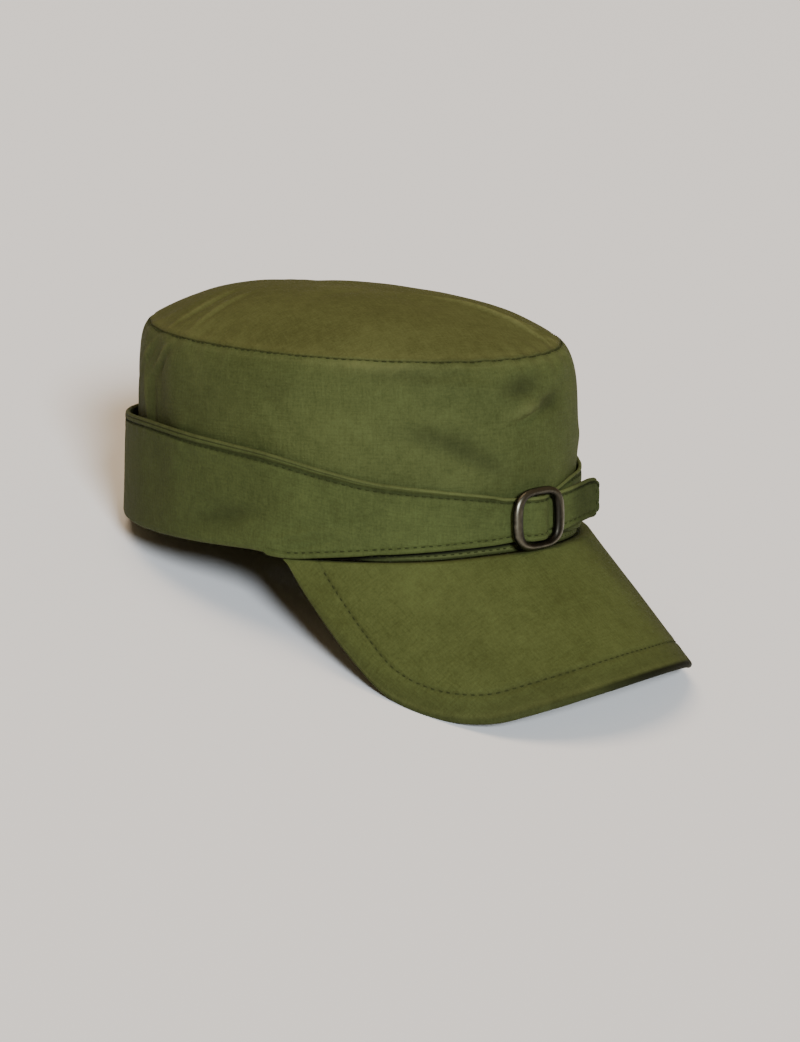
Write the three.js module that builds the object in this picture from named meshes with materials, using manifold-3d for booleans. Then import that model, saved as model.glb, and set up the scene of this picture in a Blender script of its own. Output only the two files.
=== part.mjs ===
// A soft cloth field cap: a flat-topped crown, a stiff curved peak, and an ear flap that is folded up
// round the back and sides, narrows to two straps at the front and is fastened there by a slide buckle.
//
// Units are millimetres. In the cap's own frame +Z points up out of the rim plane, -Y is the front and +X
// the wearer's left. An angle runs round the cap from the front, positive towards the wearer's left. The
// whole cap is then turned about X to the tilt at which it rests on a floor by itself.

import * as THREE from 'three';
import { mergeVertices } from 'three/addons/utils/BufferGeometryUtils.js';
import Module from 'manifold-3d';

const RADIAN = Math.PI / 180;

// Cloth and clearances
const CLOTH = 1.6;
const FLAP_CLOTH = 1.8;
const STRAP_CLOTH = 1.2;
const LOOP_CLOTH = 1.0;
const PEAK_THICKNESS = 3.0;
const CLEARANCE = 0.3;

// Crown: the side wall at its widest, the seam under the top panel, and the dome of the top panel
const CROWN = { halfLength: 102, halfWidth: 82.4, egg: 0.03 };
const SEAM = {
  halfLength: 95.1,
  halfWidth: 77.7,
  back: 1.3,
  height: 79.5,
  slope: 0.056,
  roundingDrop: 6.6,
};
const FLARE = { height: 50, power: 1.5 };
const DOME = { rise: 18.7, lean: -5.8, power: 2.8 };

// Peak: the oval that its upper surface springs from, its slope, and its flat outline
const PEAK = {
  halfLength: 104.95,
  halfWidth: 83.9,
  back: -0.7,
  height: 0.2,
  slope: 44.9 * RADIAN,
  halfSpan: 99.4,
  reach: 143.8,
  skew: 1.3,
  cornerRadius: 37.7,
  cornerLength: 1.25,
  cornerPower: 0.9,
  endTab: 3,
  bow: 19.4,
  fan: 0.096,
  curl: -3.9,
  flare: -7.3,
  bendLength: 70,
  edgeRound: 0.7,
};
// peak angles bunch the facets towards its sides, where it bends most
const PEAK_BUNCHING = 1.15;

// The peak leaves the crown almost level and then turns down: how far along the slope, by angle
const PEAK_SHOULDER = [
  { angle: 0, along: 2.6 },
  { angle: 18, along: 2.9 },
  { angle: 34, along: 4.2 },
  { angle: 60, along: 4.6 },
  { angle: 80, along: 4.6 },
];

// Ear flap: its upper and lower edges above the rim plane, and how far its outer face stands off the crown
const FLAP_EDGES = [
  { angle: 14, rightTop: 21.3, rightBottom: 2.3, leftTop: 23.4, leftBottom: 1.6 },
  { angle: 22, rightTop: 23.3, rightBottom: 1.9, leftTop: 24.9, leftBottom: 1.4 },
  { angle: 34, rightTop: 25.9, rightBottom: 1.0, leftTop: 25.6, leftBottom: 0.7 },
  { angle: 47, rightTop: 28.8, rightBottom: -0.2, leftTop: 27.0, leftBottom: -0.2 },
  { angle: 60, rightTop: 33.9, rightBottom: -1.7, leftTop: 31.4, leftBottom: -1.7 },
  { angle: 66, rightTop: 36.5, rightBottom: -2.5, leftTop: 34.8, leftBottom: -2.5 },
  { angle: 70, rightTop: 38.1, rightBottom: -2.3, leftTop: 36.9, leftBottom: -2.3 },
  { angle: 76, rightTop: 40.1, rightBottom: -0.7, leftTop: 39.8, leftBottom: -0.7 },
  { angle: 91, rightTop: 43.2, rightBottom: -0.4, leftTop: 43.0, leftBottom: -0.4 },
  { angle: 113, rightTop: 46.0, rightBottom: -0.4, leftTop: 46.0, leftBottom: -0.4 },
  { angle: 140, rightTop: 44.5, rightBottom: -0.4, leftTop: 44.5, leftBottom: -0.4 },
  { angle: 180, rightTop: 42.6, rightBottom: -0.4, leftTop: 42.6, leftBottom: -0.4 },
];

// How far the flap's outer face stands off the crown at the rim, how far its upper edge leans back in, and
// how far the crown itself flares out at the rim
const BAND_FIT = [
  { angle: 0, standoff: 2.1, lean: 0, flare: 0 },
  { angle: 30, standoff: 2.2, lean: 0, flare: 0 },
  { angle: 45, standoff: 2.5, lean: 0.3, flare: 0 },
  { angle: 60, standoff: 3.4, lean: 0.6, flare: 0.4 },
  { angle: 75, standoff: 4.5, lean: 0.9, flare: 1.2 },
  { angle: 90, standoff: 5.6, lean: 1.3, flare: 2.4 },
  { angle: 120, standoff: 7.5, lean: 2.1, flare: 4.0 },
  { angle: 150, standoff: 8.9, lean: 2.6, flare: 5.2 },
  { angle: 180, standoff: 9.4, lean: 2.7, flare: 5.5 },
];
// The buckled strap pulls the flap in at the left front
const STRAP_PULL = { angle: 42, length: 26, depth: 1.2 };
const FOLD_ENDS = { from: 74, to: 79 };
const WALL_STEP = { from: 66, to: 73 };
const FOLD_BEVEL = { height: 0.9, width: 3.2 };

// Slide buckle: a rounded frame of flattened wire with a thin bar behind it
const BUCKLE = {
  x: -2.8,
  y: -105.6,
  z: 11.2,
  halfWidth: 12.2,
  halfHeight: 10.95,
  squareness: 3.6,
  wireSide: 4.8,
  wireEnd: 3.3,
  wireDepth: 3.4,
  barWidth: 3.0,
  barDepth: 1.5,
  barSetBack: 2.4,
  barSides: 12,
  barFoot: 2.0,
};

// Right strap, seen from above: from its free tab, over the bar, to where it lies on the crown.
// y is the outer face.
const RIGHT_STRAP = [
  { x: 39.3, y: -100.9, top: 17.5, bottom: 9.6 },
  { x: 38.3, y: -101.0, top: 20.4, bottom: 7.9 },
  { x: 35.8, y: -101.3, top: 22.4, bottom: 6.6 },
  { x: 32.0, y: -101.7, top: 22.5, bottom: 6.2 },
  { x: 24.0, y: -102.4, top: 21.2, bottom: 5.0 },
  { x: 16.5, y: -103.0, top: 20.3, bottom: 4.0 },
  { x: 12.5, y: -103.2, top: 20.0, bottom: 3.5 },
  { x: 8.5, y: -103.3, top: 20.0, bottom: 3.1 },
  { x: 5.0, y: -103.8, top: 20.0, bottom: 2.7 },
  { x: 2.4, y: -105.4, top: 20.1, bottom: 2.5 },
  { x: -0.2, y: -106.7, top: 20.1, bottom: 2.4 },
  { x: -4.4, y: -106.7, top: 20.1, bottom: 2.4 },
  { x: -7.0, y: -105.3, top: 20.1, bottom: 2.3 },
  { x: -9.8, y: -103.5, top: 20.1, bottom: 2.8 },
  { x: -14.2, y: -102.8, top: 20.3, bottom: 2.8 },
  { x: -18.6, y: -101.5, top: 20.8, bottom: 2.5 },
];

// Left strap under it, seen from above: along the crown, behind the bar, round it and back. y is the middle.
const LEFT_STRAP = [
  { x: 24.0, y: -98.0, top: 24.0, bottom: 1.6 },
  { x: 19.0, y: -99.6, top: 22.9, bottom: 1.9 },
  { x: 14.5, y: -100.5, top: 21.6, bottom: 2.2 },
  { x: 10.0, y: -101.0, top: 20.4, bottom: 2.6 },
  { x: 5.0, y: -101.5, top: 19.8, bottom: 2.8 },
];
const LOOP = { top: 19.7, bottom: 2.8, startX: 1.0, returnTo: 0.3, steps: 6 };

// Soft folds and dents: the middle of each, the direction it runs, and how far it sinks below the surface
const SIDE_FOLDS = [
  { angle: -113.5, height: 66, turn: -83, length: 22, width: 7, depth: 1.8 },
  { angle: -104, height: 60, turn: -80, length: 20, width: 7, depth: -1.0 },
  { angle: -57, height: 62, turn: -28, length: 30, width: 9, depth: 1.2 },
  { angle: -17, height: 52, turn: -18, length: 34, width: 8, depth: 1.5 },
  { angle: -24, height: 65, turn: -12, length: 26, width: 9, depth: -0.9 },
  { angle: 0, height: 11, turn: 0, length: 26, width: 14, depth: 1.5 },
  { angle: 42, height: 16, turn: 0, length: 26, width: 20, depth: 1.4 },
  { angle: 95, height: 62, turn: -60, length: 24, width: 9, depth: 1.5 },
  { angle: 165, height: 64, turn: 40, length: 26, width: 9, depth: 1.4 },
];
const TOP_FOLDS = [
  { x: -62, y: 35, turn: 165, length: 18, width: 5, depth: 2.2 },
  { x: 14, y: -58, turn: -62, length: 34, width: 7, depth: -1.4 },
  { x: 26, y: -50, turn: -62, length: 30, width: 7, depth: 1.2 },
  { x: -55, y: -37, turn: 145, length: 18, width: 7, depth: 0.9 },
  { x: 54, y: -46, turn: -58, length: 26, width: 13, depth: -1.7 },
  { x: 20, y: 45, turn: 30, length: 34, width: 10, depth: 1.4 },
];
// How sharply the top panel's folds fade out at its seam
const FOLD_FADE = 6;
const FLAP_FOLDS = [
  { angle: -81, height: 15, turn: 20, length: 20, width: 7, depth: 0.9 },
  { angle: -107, height: 24, turn: 70, length: 16, width: 8, depth: 0.9 },
  { angle: 130, height: 25, turn: 60, length: 18, width: 8, depth: 0.9 },
];

// How finely the surfaces are faceted
const ROUND_STEPS = 64;
const DOME_RINGS = 6;
const RING_BUNCHING = 0.8;
const PEAK_COLUMNS = 44;
const PEAK_ROWS = 5;
const FRONT_POINTS = 20;
const CORNER_POINTS = 24;
const SPRING_STEPS = 180;
const BAND = { first: 16, step: 6, closeFrom: 64, closeTo: 79, closeStep: 3, lastOnLeft: 20 };
const BAND_SHARES = { lower: 0.18, middle: 0.42, upper: 0.72 };
const WALL_SHARES = {
  outer: [0, 0.1, 0.24, 0.4, 0.56, 0.7, 0.81, 0.89, 0.95, 1],
  inner: [1, 0.92, 0.81, 0.64, 0.44, 0.22, 0],
};
const WIRE_STEPS = 36;
const WIRE_SIDES = 8;
const CORNER_BUNCHING = 0.16;
const RUN_STEP = 0.3;

// How far the cloth and the peak's edge give where the cap rests
const REST_GIVE = 0.5;

const OLIVE = 0x5a6232;
const OLIVE_SHADE = 0x525a2e;
const GUNMETAL = 0x6e6352;

function smoothStep(value, from, to) {
  return THREE.MathUtils.smoothstep(value, from, to);
}

// Reads a column of a table between its rows, easing through each row
function readTable(rows, key, at, column) {
  const last = rows.length - 1;
  if (at <= rows[0][key]) return rows[0][column];
  if (at >= rows[last][key]) return rows[last][column];
  const i = rows.findIndex((row, n) => n < last && at <= rows[n + 1][key]);
  const slopeAt = (n) => {
    const a = rows[Math.max(n - 1, 0)];
    const b = rows[Math.min(n + 1, last)];
    return (b[column] - a[column]) / (b[key] - a[key]);
  };
  const span = rows[i + 1][key] - rows[i][key];
  const t = (at - rows[i][key]) / span;
  const start = rows[i][column];
  const end = rows[i + 1][column];
  const blend = t * t * (3 - 2 * t);
  const bendStart = t * (1 - t) * (1 - t) * span * slopeAt(i);
  const bendEnd = t * t * (t - 1) * span * slopeAt(i + 1);
  return start + (end - start) * blend + bendStart + bendEnd;
}

// Egg-shaped oval round the head, narrower at the front
function oval(angle, halfLength, halfWidth, back = 0) {
  const x = halfWidth * Math.sin(angle) * (1 - CROWN.egg * Math.cos(angle));
  return new THREE.Vector2(x, back - halfLength * Math.cos(angle));
}

function ovalNormal(angle) {
  const dx = CROWN.halfWidth * (Math.cos(angle) - CROWN.egg * Math.cos(2 * angle));
  const dy = CROWN.halfLength * Math.sin(angle);
  return new THREE.Vector2(dy, -dx).normalize();
}

// Degrees away from the front, either way round
function degreesOff(angle) {
  return Math.abs(angle > Math.PI ? angle - 2 * Math.PI : angle) / RADIAN;
}

// Sink of a list of folds at a place on a surface, in the surface's own flat coordinates
function foldSink(across, up, folds) {
  let sink = 0;
  for (const fold of folds) {
    const cos = Math.cos(fold.turn * RADIAN);
    const sin = Math.sin(fold.turn * RADIAN);
    const dx = across - fold.across;
    const dy = up - fold.up;
    const along = (dx * cos + dy * sin) / fold.length;
    const aside = (dy * cos - dx * sin) / fold.width;
    sink += fold.depth * Math.exp(-along * along - aside * aside);
  }
  return sink;
}

// A wall fold's angle becomes a distance round the crown
const MEAN_RADIUS = (CROWN.halfLength + CROWN.halfWidth) / 2;
const wallFold = (fold) => ({ ...fold, across: fold.angle * RADIAN * MEAN_RADIUS, up: fold.height });
const sideFolds = SIDE_FOLDS.map(wallFold);
const flapFolds = FLAP_FOLDS.map(wallFold);
const topFolds = TOP_FOLDS.map((fold) => ({ ...fold, across: fold.x, up: fold.y }));

function wallSink(angle, height, folds) {
  const turned = angle > Math.PI ? angle - 2 * Math.PI : angle;
  return foldSink(turned * MEAN_RADIUS, height, folds);
}

// Closed surface from a grid of points: sections[i][j], where each section is a closed loop. Sections either
// close on each other in a ring, or the first and last are capped.
function loopedSolid(sections, ring) {
  const count = sections[0].length;
  const positions = [];
  for (const section of sections) {
    for (const point of section) positions.push(point.x, point.y, point.z);
  }
  const index = [];
  const bands = ring ? sections.length : sections.length - 1;
  for (let i = 0; i < bands; i += 1) {
    const here = i * count;
    const next = ((i + 1) % sections.length) * count;
    for (let j = 0; j < count; j += 1) {
      const k = (j + 1) % count;
      index.push(here + j, next + j, next + k, here + j, next + k, here + k);
    }
  }
  if (!ring) {
    capSection(positions, index, 0, count, false);
    capSection(positions, index, (sections.length - 1) * count, count, true);
  }
  return outwardGeometry(positions, index);
}

// Fills one end section, which is a thin outline, with triangles
function capSection(positions, index, first, count, reversed) {
  const corners = [];
  for (let j = 0; j < count; j += 1) {
    const at = (first + j) * 3;
    corners.push(new THREE.Vector3(positions[at], positions[at + 1], positions[at + 2]));
  }
  const side = corners[1].clone().sub(corners[0]);
  const normal = new THREE.Vector3();
  for (let j = 0; j < count; j += 1) {
    normal.add(corners[j].clone().cross(corners[(j + 1) % count]));
  }
  normal.normalize();
  const axisU = side.sub(normal.clone().multiplyScalar(side.dot(normal))).normalize();
  const axisV = normal.clone().cross(axisU);
  const flat = corners.map((corner) => new THREE.Vector2(corner.dot(axisU), corner.dot(axisV)));
  for (const [a, b, c] of THREE.ShapeUtils.triangulateShape(flat, [])) {
    const face = reversed ? [a, c, b] : [a, b, c];
    index.push(...face.map((corner) => first + corner));
  }
}

function outwardGeometry(positions, index) {
  let volume = 0;
  const corner = (n) => new THREE.Vector3().fromArray(positions, n * 3);
  for (let f = 0; f < index.length; f += 3) {
    volume += corner(index[f]).dot(corner(index[f + 1]).cross(corner(index[f + 2])));
  }
  if (volume < 0) {
    for (let f = 0; f < index.length; f += 3) {
      [index[f + 1], index[f + 2]] = [index[f + 2], index[f + 1]];
    }
  }
  const geometry = new THREE.BufferGeometry();
  geometry.setAttribute('position', new THREE.Float32BufferAttribute(positions, 3));
  geometry.setIndex(index);
  return geometry;
}

// Crown

function seamHeight(angle) {
  return SEAM.height + SEAM.slope * oval(angle, SEAM.halfLength, SEAM.halfWidth, SEAM.back).y;
}

// How steeply the wall leans in at a drop below the seam, as inward run over rise
function wallLean(drop) {
  const shrink = (CROWN.halfLength - SEAM.halfLength) / SEAM.roundingDrop;
  return shrink * Math.exp(-drop / SEAM.roundingDrop);
}

function wallNormal(angle, height) {
  const plan = ovalNormal(angle);
  const lean = wallLean(seamHeight(angle) - height);
  return new THREE.Vector3(plan.x, plan.y, lean).normalize();
}

function wallPoint(angle, height) {
  const rounding = Math.exp(-(seamHeight(angle) - height) / SEAM.roundingDrop);
  const halfLength = THREE.MathUtils.lerp(CROWN.halfLength, SEAM.halfLength, rounding);
  const halfWidth = THREE.MathUtils.lerp(CROWN.halfWidth, SEAM.halfWidth, rounding);
  const plan = oval(angle, halfLength, halfWidth, SEAM.back * rounding);
  const share = THREE.MathUtils.clamp(1 - height / FLARE.height, 0, 1);
  const flare = readTable(BAND_FIT, 'angle', degreesOff(angle), 'flare') * share ** FLARE.power;
  const fade = 1 - rounding;
  const offset = flare - wallSink(angle, height, sideFolds) * fade;
  plan.addScaledVector(ovalNormal(angle), offset);
  return new THREE.Vector3(plan.x, plan.y, height);
}

// The wall stands on the peak at the front and on the flap's fold behind it
function wallBottom(angle) {
  const degrees = degreesOff(angle);
  const onPeak = peakRootHeight(Math.min(degrees, FOLD_ENDS.from) * RADIAN) + CLEARANCE;
  const onFold = readTable(FLAP_EDGES, 'angle', degrees, 'rightBottom') + FLAP_CLOTH + CLEARANCE;
  return THREE.MathUtils.lerp(onPeak, onFold, smoothStep(degrees, WALL_STEP.from, WALL_STEP.to));
}

function crownSide() {
  const sections = [];
  for (let i = 0; i < ROUND_STEPS; i += 1) {
    const angle = (i / ROUND_STEPS) * 2 * Math.PI;
    const bottom = wallBottom(angle);
    const rise = seamHeight(angle) - bottom;
    const outer = WALL_SHARES.outer.map((share) => wallPoint(angle, bottom + rise * share));
    const inner = WALL_SHARES.inner.map((share) => {
      const height = bottom + rise * share;
      return wallPoint(angle, height).addScaledVector(wallNormal(angle, height), -CLOTH);
    });
    inner[inner.length - 1].z = bottom;
    sections.push([...outer, ...inner]);
  }
  return loopedSolid(sections, true);
}

// Top panel: share is 0 at its middle and 1 at the seam
function domePoint(angle, share) {
  const plan = oval(angle, SEAM.halfLength * share, SEAM.halfWidth * share, SEAM.back);
  const rise = (DOME.rise + (DOME.lean * plan.x) / 100) * (1 - share ** DOME.power);
  const sink = foldSink(plan.x, plan.y, topFolds) * (1 - share ** FOLD_FADE);
  return new THREE.Vector3(plan.x, plan.y, SEAM.height + SEAM.slope * plan.y + rise - sink);
}

function crownTop() {
  const rim = 1 - CLEARANCE / SEAM.halfWidth;
  const rings = [];
  for (let n = 1; n <= DOME_RINGS; n += 1) rings.push(rim * (n / DOME_RINGS) ** RING_BUNCHING);
  const positions = [];
  const index = [];
  const addPoint = (point) => positions.push(point.x, point.y, point.z);
  const under = (angle, share) => domePoint(angle, share).sub(new THREE.Vector3(0, 0, CLOTH));
  addPoint(domePoint(0, 0));
  for (const share of rings) {
    for (let i = 0; i < ROUND_STEPS; i += 1) addPoint(domePoint((i / ROUND_STEPS) * 2 * Math.PI, share));
  }
  for (let i = 0; i < ROUND_STEPS; i += 1) {
    const angle = (i / ROUND_STEPS) * 2 * Math.PI;
    addPoint(domePoint(angle, rim).addScaledVector(wallNormal(angle, seamHeight(angle)), -CLOTH));
  }
  for (const share of rings.slice(0, -1).reverse()) {
    for (let i = 0; i < ROUND_STEPS; i += 1) addPoint(under((i / ROUND_STEPS) * 2 * Math.PI, share));
  }
  addPoint(under(0, 0));
  const ringCount = 2 * DOME_RINGS;
  const lastPole = 1 + ringCount * ROUND_STEPS;
  for (let i = 0; i < ROUND_STEPS; i += 1) {
    const k = (i + 1) % ROUND_STEPS;
    index.push(0, 1 + i, 1 + k);
    for (let ring = 0; ring < ringCount - 1; ring += 1) {
      const here = 1 + ring * ROUND_STEPS;
      const next = here + ROUND_STEPS;
      index.push(here + i, next + i, next + k, here + i, next + k, here + k);
    }
    const last = lastPole - ROUND_STEPS;
    index.push(last + i, lastPole, last + k);
  }
  return outwardGeometry(positions, index);
}

// Peak: laid out flat as across (u) and along (v) its slope, then bent to the crown's front

function peakSurface(angle, along) {
  const spring = oval(angle, PEAK.halfLength, PEAK.halfWidth, PEAK.back);
  const cos = Math.cos(PEAK.slope);
  const sin = Math.sin(PEAK.slope);
  const run = new THREE.Vector3(PEAK.fan * Math.sin(angle), -cos, -sin).normalize();
  const bent = (along / PEAK.bendLength) ** 2;
  const point = new THREE.Vector3(spring.x, spring.y, PEAK.height).addScaledVector(run, along);
  point.x += PEAK.flare * Math.sin(angle) * bent;
  point.y += PEAK.curl * bent * sin;
  point.z -= PEAK.curl * bent * cos;
  return point;
}

// Flat coordinates of the oval that the peak springs from, by angle from the front
const peakSpring = (() => {
  const rows = [];
  const cos = Math.cos(PEAK.slope);
  const sin = Math.sin(PEAK.slope);
  let across = 0;
  let before = null;
  for (let i = 0; i <= SPRING_STEPS; i += 1) {
    const angle = ((i / SPRING_STEPS) * Math.PI) / 2;
    const point = peakSurface(angle, 0);
    const along = -point.y * cos - point.z * sin;
    const aside = point.y * sin - point.z * cos;
    if (before) across += Math.hypot(point.x - before.x, aside - before.aside);
    before = { x: point.x, aside };
    rows.push({ angle, across, along });
  }
  return rows;
})();

function readLine(rows, key, at, column) {
  const i = Math.min(Math.max(rows.findIndex((row) => row[key] >= at), 1), rows.length - 1);
  const share = (at - rows[i - 1][key]) / (rows[i][key] - rows[i - 1][key]);
  return THREE.MathUtils.lerp(rows[i - 1][column], rows[i][column], share);
}

function peakPoint(u, v) {
  const angle = readLine(peakSpring, 'across', Math.abs(u), 'angle');
  const start = readLine(peakSpring, 'across', Math.abs(u), 'along');
  return peakSurface(angle * Math.sign(u), v - start);
}

function peakNormal(u, v) {
  const step = 0.5;
  const across = peakPoint(u + step, v).sub(peakPoint(u - step, v));
  const along = peakPoint(u, v + step).sub(peakPoint(u, v - step));
  return along.cross(across).normalize();
}

function shoulderAlong(angle) {
  return readTable(PEAK_SHOULDER, 'angle', Math.abs(angle) / RADIAN, 'along');
}

function peakRootHeight(angle) {
  return peakSurface(angle, shoulderAlong(angle)).z;
}

// Half of the flat outline from the middle of the front edge round the corner and up the side. The front
// edge is a little longer on the wearer's right.
function peakOutline(inset, side) {
  const span = PEAK.halfSpan - inset;
  const radius = PEAK.cornerRadius - inset / 2;
  const skew = (u) => side * PEAK.skew * Math.sin((Math.PI * u) / PEAK.halfSpan);
  const front = (u) => PEAK.reach - inset - skew(u) - PEAK.bow * (u / 100) ** 2;
  const straight = front(span - radius) - PEAK.cornerLength * radius;
  const points = [];
  for (let i = 0; i <= FRONT_POINTS; i += 1) {
    const u = ((span - radius) * i) / FRONT_POINTS;
    points.push(new THREE.Vector2(u, front(u)));
  }
  for (let i = 1; i <= CORNER_POINTS; i += 1) {
    const turn = (i / CORNER_POINTS) * (Math.PI / 2);
    const u = span - radius + radius * Math.sin(turn) ** PEAK.cornerPower;
    const rise = Math.cos(turn) ** PEAK.cornerPower;
    points.push(new THREE.Vector2(u, straight + (front(u) - straight) * rise));
  }
  const sideEnd = peakSideEnd() + PEAK.endTab;
  points.push(new THREE.Vector2(span, (straight + sideEnd) / 2));
  points.push(new THREE.Vector2(span, sideEnd));
  return points;
}

function peakEndAngle() {
  return readLine(peakSpring, 'across', PEAK.halfSpan - PEAK.edgeRound, 'angle');
}

function peakSideEnd() {
  const angle = peakEndAngle();
  return readLine(peakSpring, 'angle', angle, 'along') + shoulderAlong(angle);
}

// Point at a share of the length of a line of points
function pointAlong(points, share) {
  const lengths = [0];
  for (let i = 1; i < points.length; i += 1) {
    lengths.push(lengths[i - 1] + points[i].distanceTo(points[i - 1]));
  }
  const target = share * lengths[lengths.length - 1];
  const i = Math.min(Math.max(lengths.findIndex((length) => length >= target), 1), points.length - 1);
  const part = (target - lengths[i - 1]) / (lengths[i] - lengths[i - 1]);
  return points[i - 1].clone().lerp(points[i], part);
}

function peak() {
  const endAngle = peakEndAngle();
  const sections = [];
  for (let i = 0; i <= PEAK_COLUMNS; i += 1) {
    const place = (2 * i) / PEAK_COLUMNS - 1;
    const side = Math.sign(place) || 1;
    const angle = Math.abs(place) * endAngle;
    const root = new THREE.Vector2(
      readLine(peakSpring, 'angle', angle, 'across'),
      readLine(peakSpring, 'angle', angle, 'along') + shoulderAlong(angle),
    );
    const share = Math.abs(place) ** PEAK_BUNCHING;
    const end = pointAlong(peakOutline(PEAK.edgeRound, side), share);
    const edge = pointAlong(peakOutline(0, side), share);
    const top = [];
    const under = [];
    for (let row = 0; row <= PEAK_ROWS; row += 1) {
      const flat = root.clone().lerp(end, row / PEAK_ROWS);
      const point = peakPoint(side * flat.x, flat.y);
      top.push(point);
      under.push(point.clone().addScaledVector(peakNormal(side * flat.x, flat.y), -PEAK_THICKNESS));
    }
    const middle = peakPoint(side * edge.x, edge.y);
    middle.addScaledVector(peakNormal(side * edge.x, edge.y), -PEAK_THICKNESS / 2);
    const tuckAngle = Math.atan2(top[0].x / CROWN.halfWidth, -top[0].y / CROWN.halfLength);
    const tuck = oval(tuckAngle, CROWN.halfLength - CLOTH, CROWN.halfWidth - CLOTH);
    const rootHeight = top[0].z;
    const tuckTop = new THREE.Vector3(tuck.x, tuck.y, rootHeight);
    const tuckUnder = new THREE.Vector3(tuck.x, tuck.y, rootHeight - CLOTH);
    sections.push([tuckTop, ...top, middle, ...under.reverse(), tuckUnder]);
  }
  return loopedSolid(sections, false);
}

// Ear flap: one band of cloth, followed from the right strap's free end round the back to the left strap

// One station of the band: the middle of its cloth seen from above, its edges, thickness and fold width,
// and how far it sinks in at a height
function station(x, y, top, bottom, thickness, fold = 0, sink = () => 0) {
  return { x, y, top, bottom, thickness, fold, sink };
}

function wallStation(angle) {
  const degrees = degreesOff(angle);
  const hand = angle < 0 ? 'right' : 'left';
  const thickness = THREE.MathUtils.lerp(STRAP_CLOTH, FLAP_CLOTH, smoothStep(degrees, 16, 50));
  const fit = (column) => readTable(BAND_FIT, 'angle', degrees, column);
  const away = ((angle - STRAP_PULL.angle * RADIAN) * MEAN_RADIUS) / STRAP_PULL.length;
  const outer = fit('standoff') - STRAP_PULL.depth * Math.exp(-away * away);
  const plan = oval(angle, CROWN.halfLength, CROWN.halfWidth);
  plan.addScaledVector(ovalNormal(angle), outer - thickness / 2);
  const foldWidth = outer - thickness - (fit('flare') - CLOTH);
  const fold = foldWidth * smoothStep(degrees, FOLD_ENDS.from, FOLD_ENDS.to);
  const top = readTable(FLAP_EDGES, 'angle', degrees, `${hand}Top`);
  const bottom = readTable(FLAP_EDGES, 'angle', degrees, `${hand}Bottom`);
  const lean = fit('lean');
  const sink = (height) => {
    const rise = Math.max(height - bottom, 0);
    return (lean * rise) / (top - bottom) + wallSink(angle, height, flapFolds) * smoothStep(rise, 0, 8);
  };
  return station(plan.x, plan.y, top, bottom, thickness, fold, sink);
}

// Angles of the stations on the crown, from the wearer's right front round the back to the left front,
// closer together where the fold begins
function bandAngles() {
  const half = [];
  let degrees = BAND.first;
  while (degrees < 180) {
    half.push(degrees);
    degrees += degrees >= BAND.closeFrom && degrees < BAND.closeTo ? BAND.closeStep : BAND.step;
  }
  const otherHalf = half.filter((value) => value > BAND.lastOnLeft).reverse();
  return [...half, 180, ...otherHalf.map((value) => 360 - value)];
}

function bandStations() {
  const stations = [];
  for (const row of RIGHT_STRAP) {
    stations.push(station(row.x, row.y + STRAP_CLOTH / 2, row.top, row.bottom, STRAP_CLOTH));
  }
  for (const degrees of bandAngles()) {
    const turned = degrees > 180 ? 360 - degrees : -degrees;
    stations.push(wallStation(turned * RADIAN));
  }
  for (const row of LEFT_STRAP) {
    stations.push(station(row.x, row.y, row.top, row.bottom, LOOP_CLOTH));
  }
  return [...stations, ...loopStations()];
}

// The left strap's end goes round the bar on a half circle and comes back over it
function loopStations() {
  const barY = BUCKLE.y + BUCKLE.barSetBack;
  const radius = BUCKLE.barDepth / 2 + CLEARANCE + LOOP_CLOTH / 2;
  const turnX = BUCKLE.x - BUCKLE.barWidth / 2 + BUCKLE.barDepth / 2;
  const add = (x, y) => station(x, y, LOOP.top, LOOP.bottom, LOOP_CLOTH);
  const stations = [add(LOOP.startX, barY + radius)];
  for (let i = 0; i <= LOOP.steps; i += 1) {
    const turn = (i / LOOP.steps) * Math.PI;
    stations.push(add(turnX - radius * Math.sin(turn), barY + radius * Math.cos(turn)));
  }
  stations.push(add(LOOP.returnTo, barY - radius + CLEARANCE / 2));
  return stations;
}

function bandSection(stations, i) {
  const here = stations[i];
  const before = stations[Math.max(i - 1, 0)];
  const after = stations[Math.min(i + 1, stations.length - 1)];
  const run = new THREE.Vector2(after.x - before.x, after.y - before.y).normalize();
  const outward = new THREE.Vector2(-run.y, run.x);
  const rise = here.top - here.bottom;
  const folded = Math.min(here.fold, 1);
  const at = (offset, height) => {
    const shift = offset - here.sink(height);
    return new THREE.Vector3(here.x + outward.x * shift, here.y + outward.y * shift, height);
  };
  const outer = here.thickness / 2;
  const inner = -here.thickness / 2;
  const bevel = Math.min(FOLD_BEVEL.width, here.fold);
  const lower = here.thickness / 4;
  return [
    at(outer, here.top),
    at(outer, here.bottom + rise * BAND_SHARES.upper),
    at(outer, here.bottom + rise * BAND_SHARES.middle),
    at(outer, here.bottom + rise * BAND_SHARES.lower),
    at(outer, here.bottom + THREE.MathUtils.lerp(lower, FOLD_BEVEL.height, folded)),
    at(outer - Math.max(bevel, lower), here.bottom),
    at(inner - here.fold, here.bottom),
    at(inner - here.fold, here.bottom + here.thickness),
    at(inner, here.bottom + here.thickness + (1 - folded)),
    at(inner, here.bottom + rise * BAND_SHARES.middle),
    at(inner, here.bottom + rise * BAND_SHARES.upper),
    at(inner, here.top),
  ];
}

function earFlap() {
  const stations = bandStations();
  const sections = stations.map((here, i) => bandSection(stations, i));
  return loopedSolid(sections, false);
}

// Buckle: a ring of flattened wire on a rounded square, joined to its bar

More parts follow.
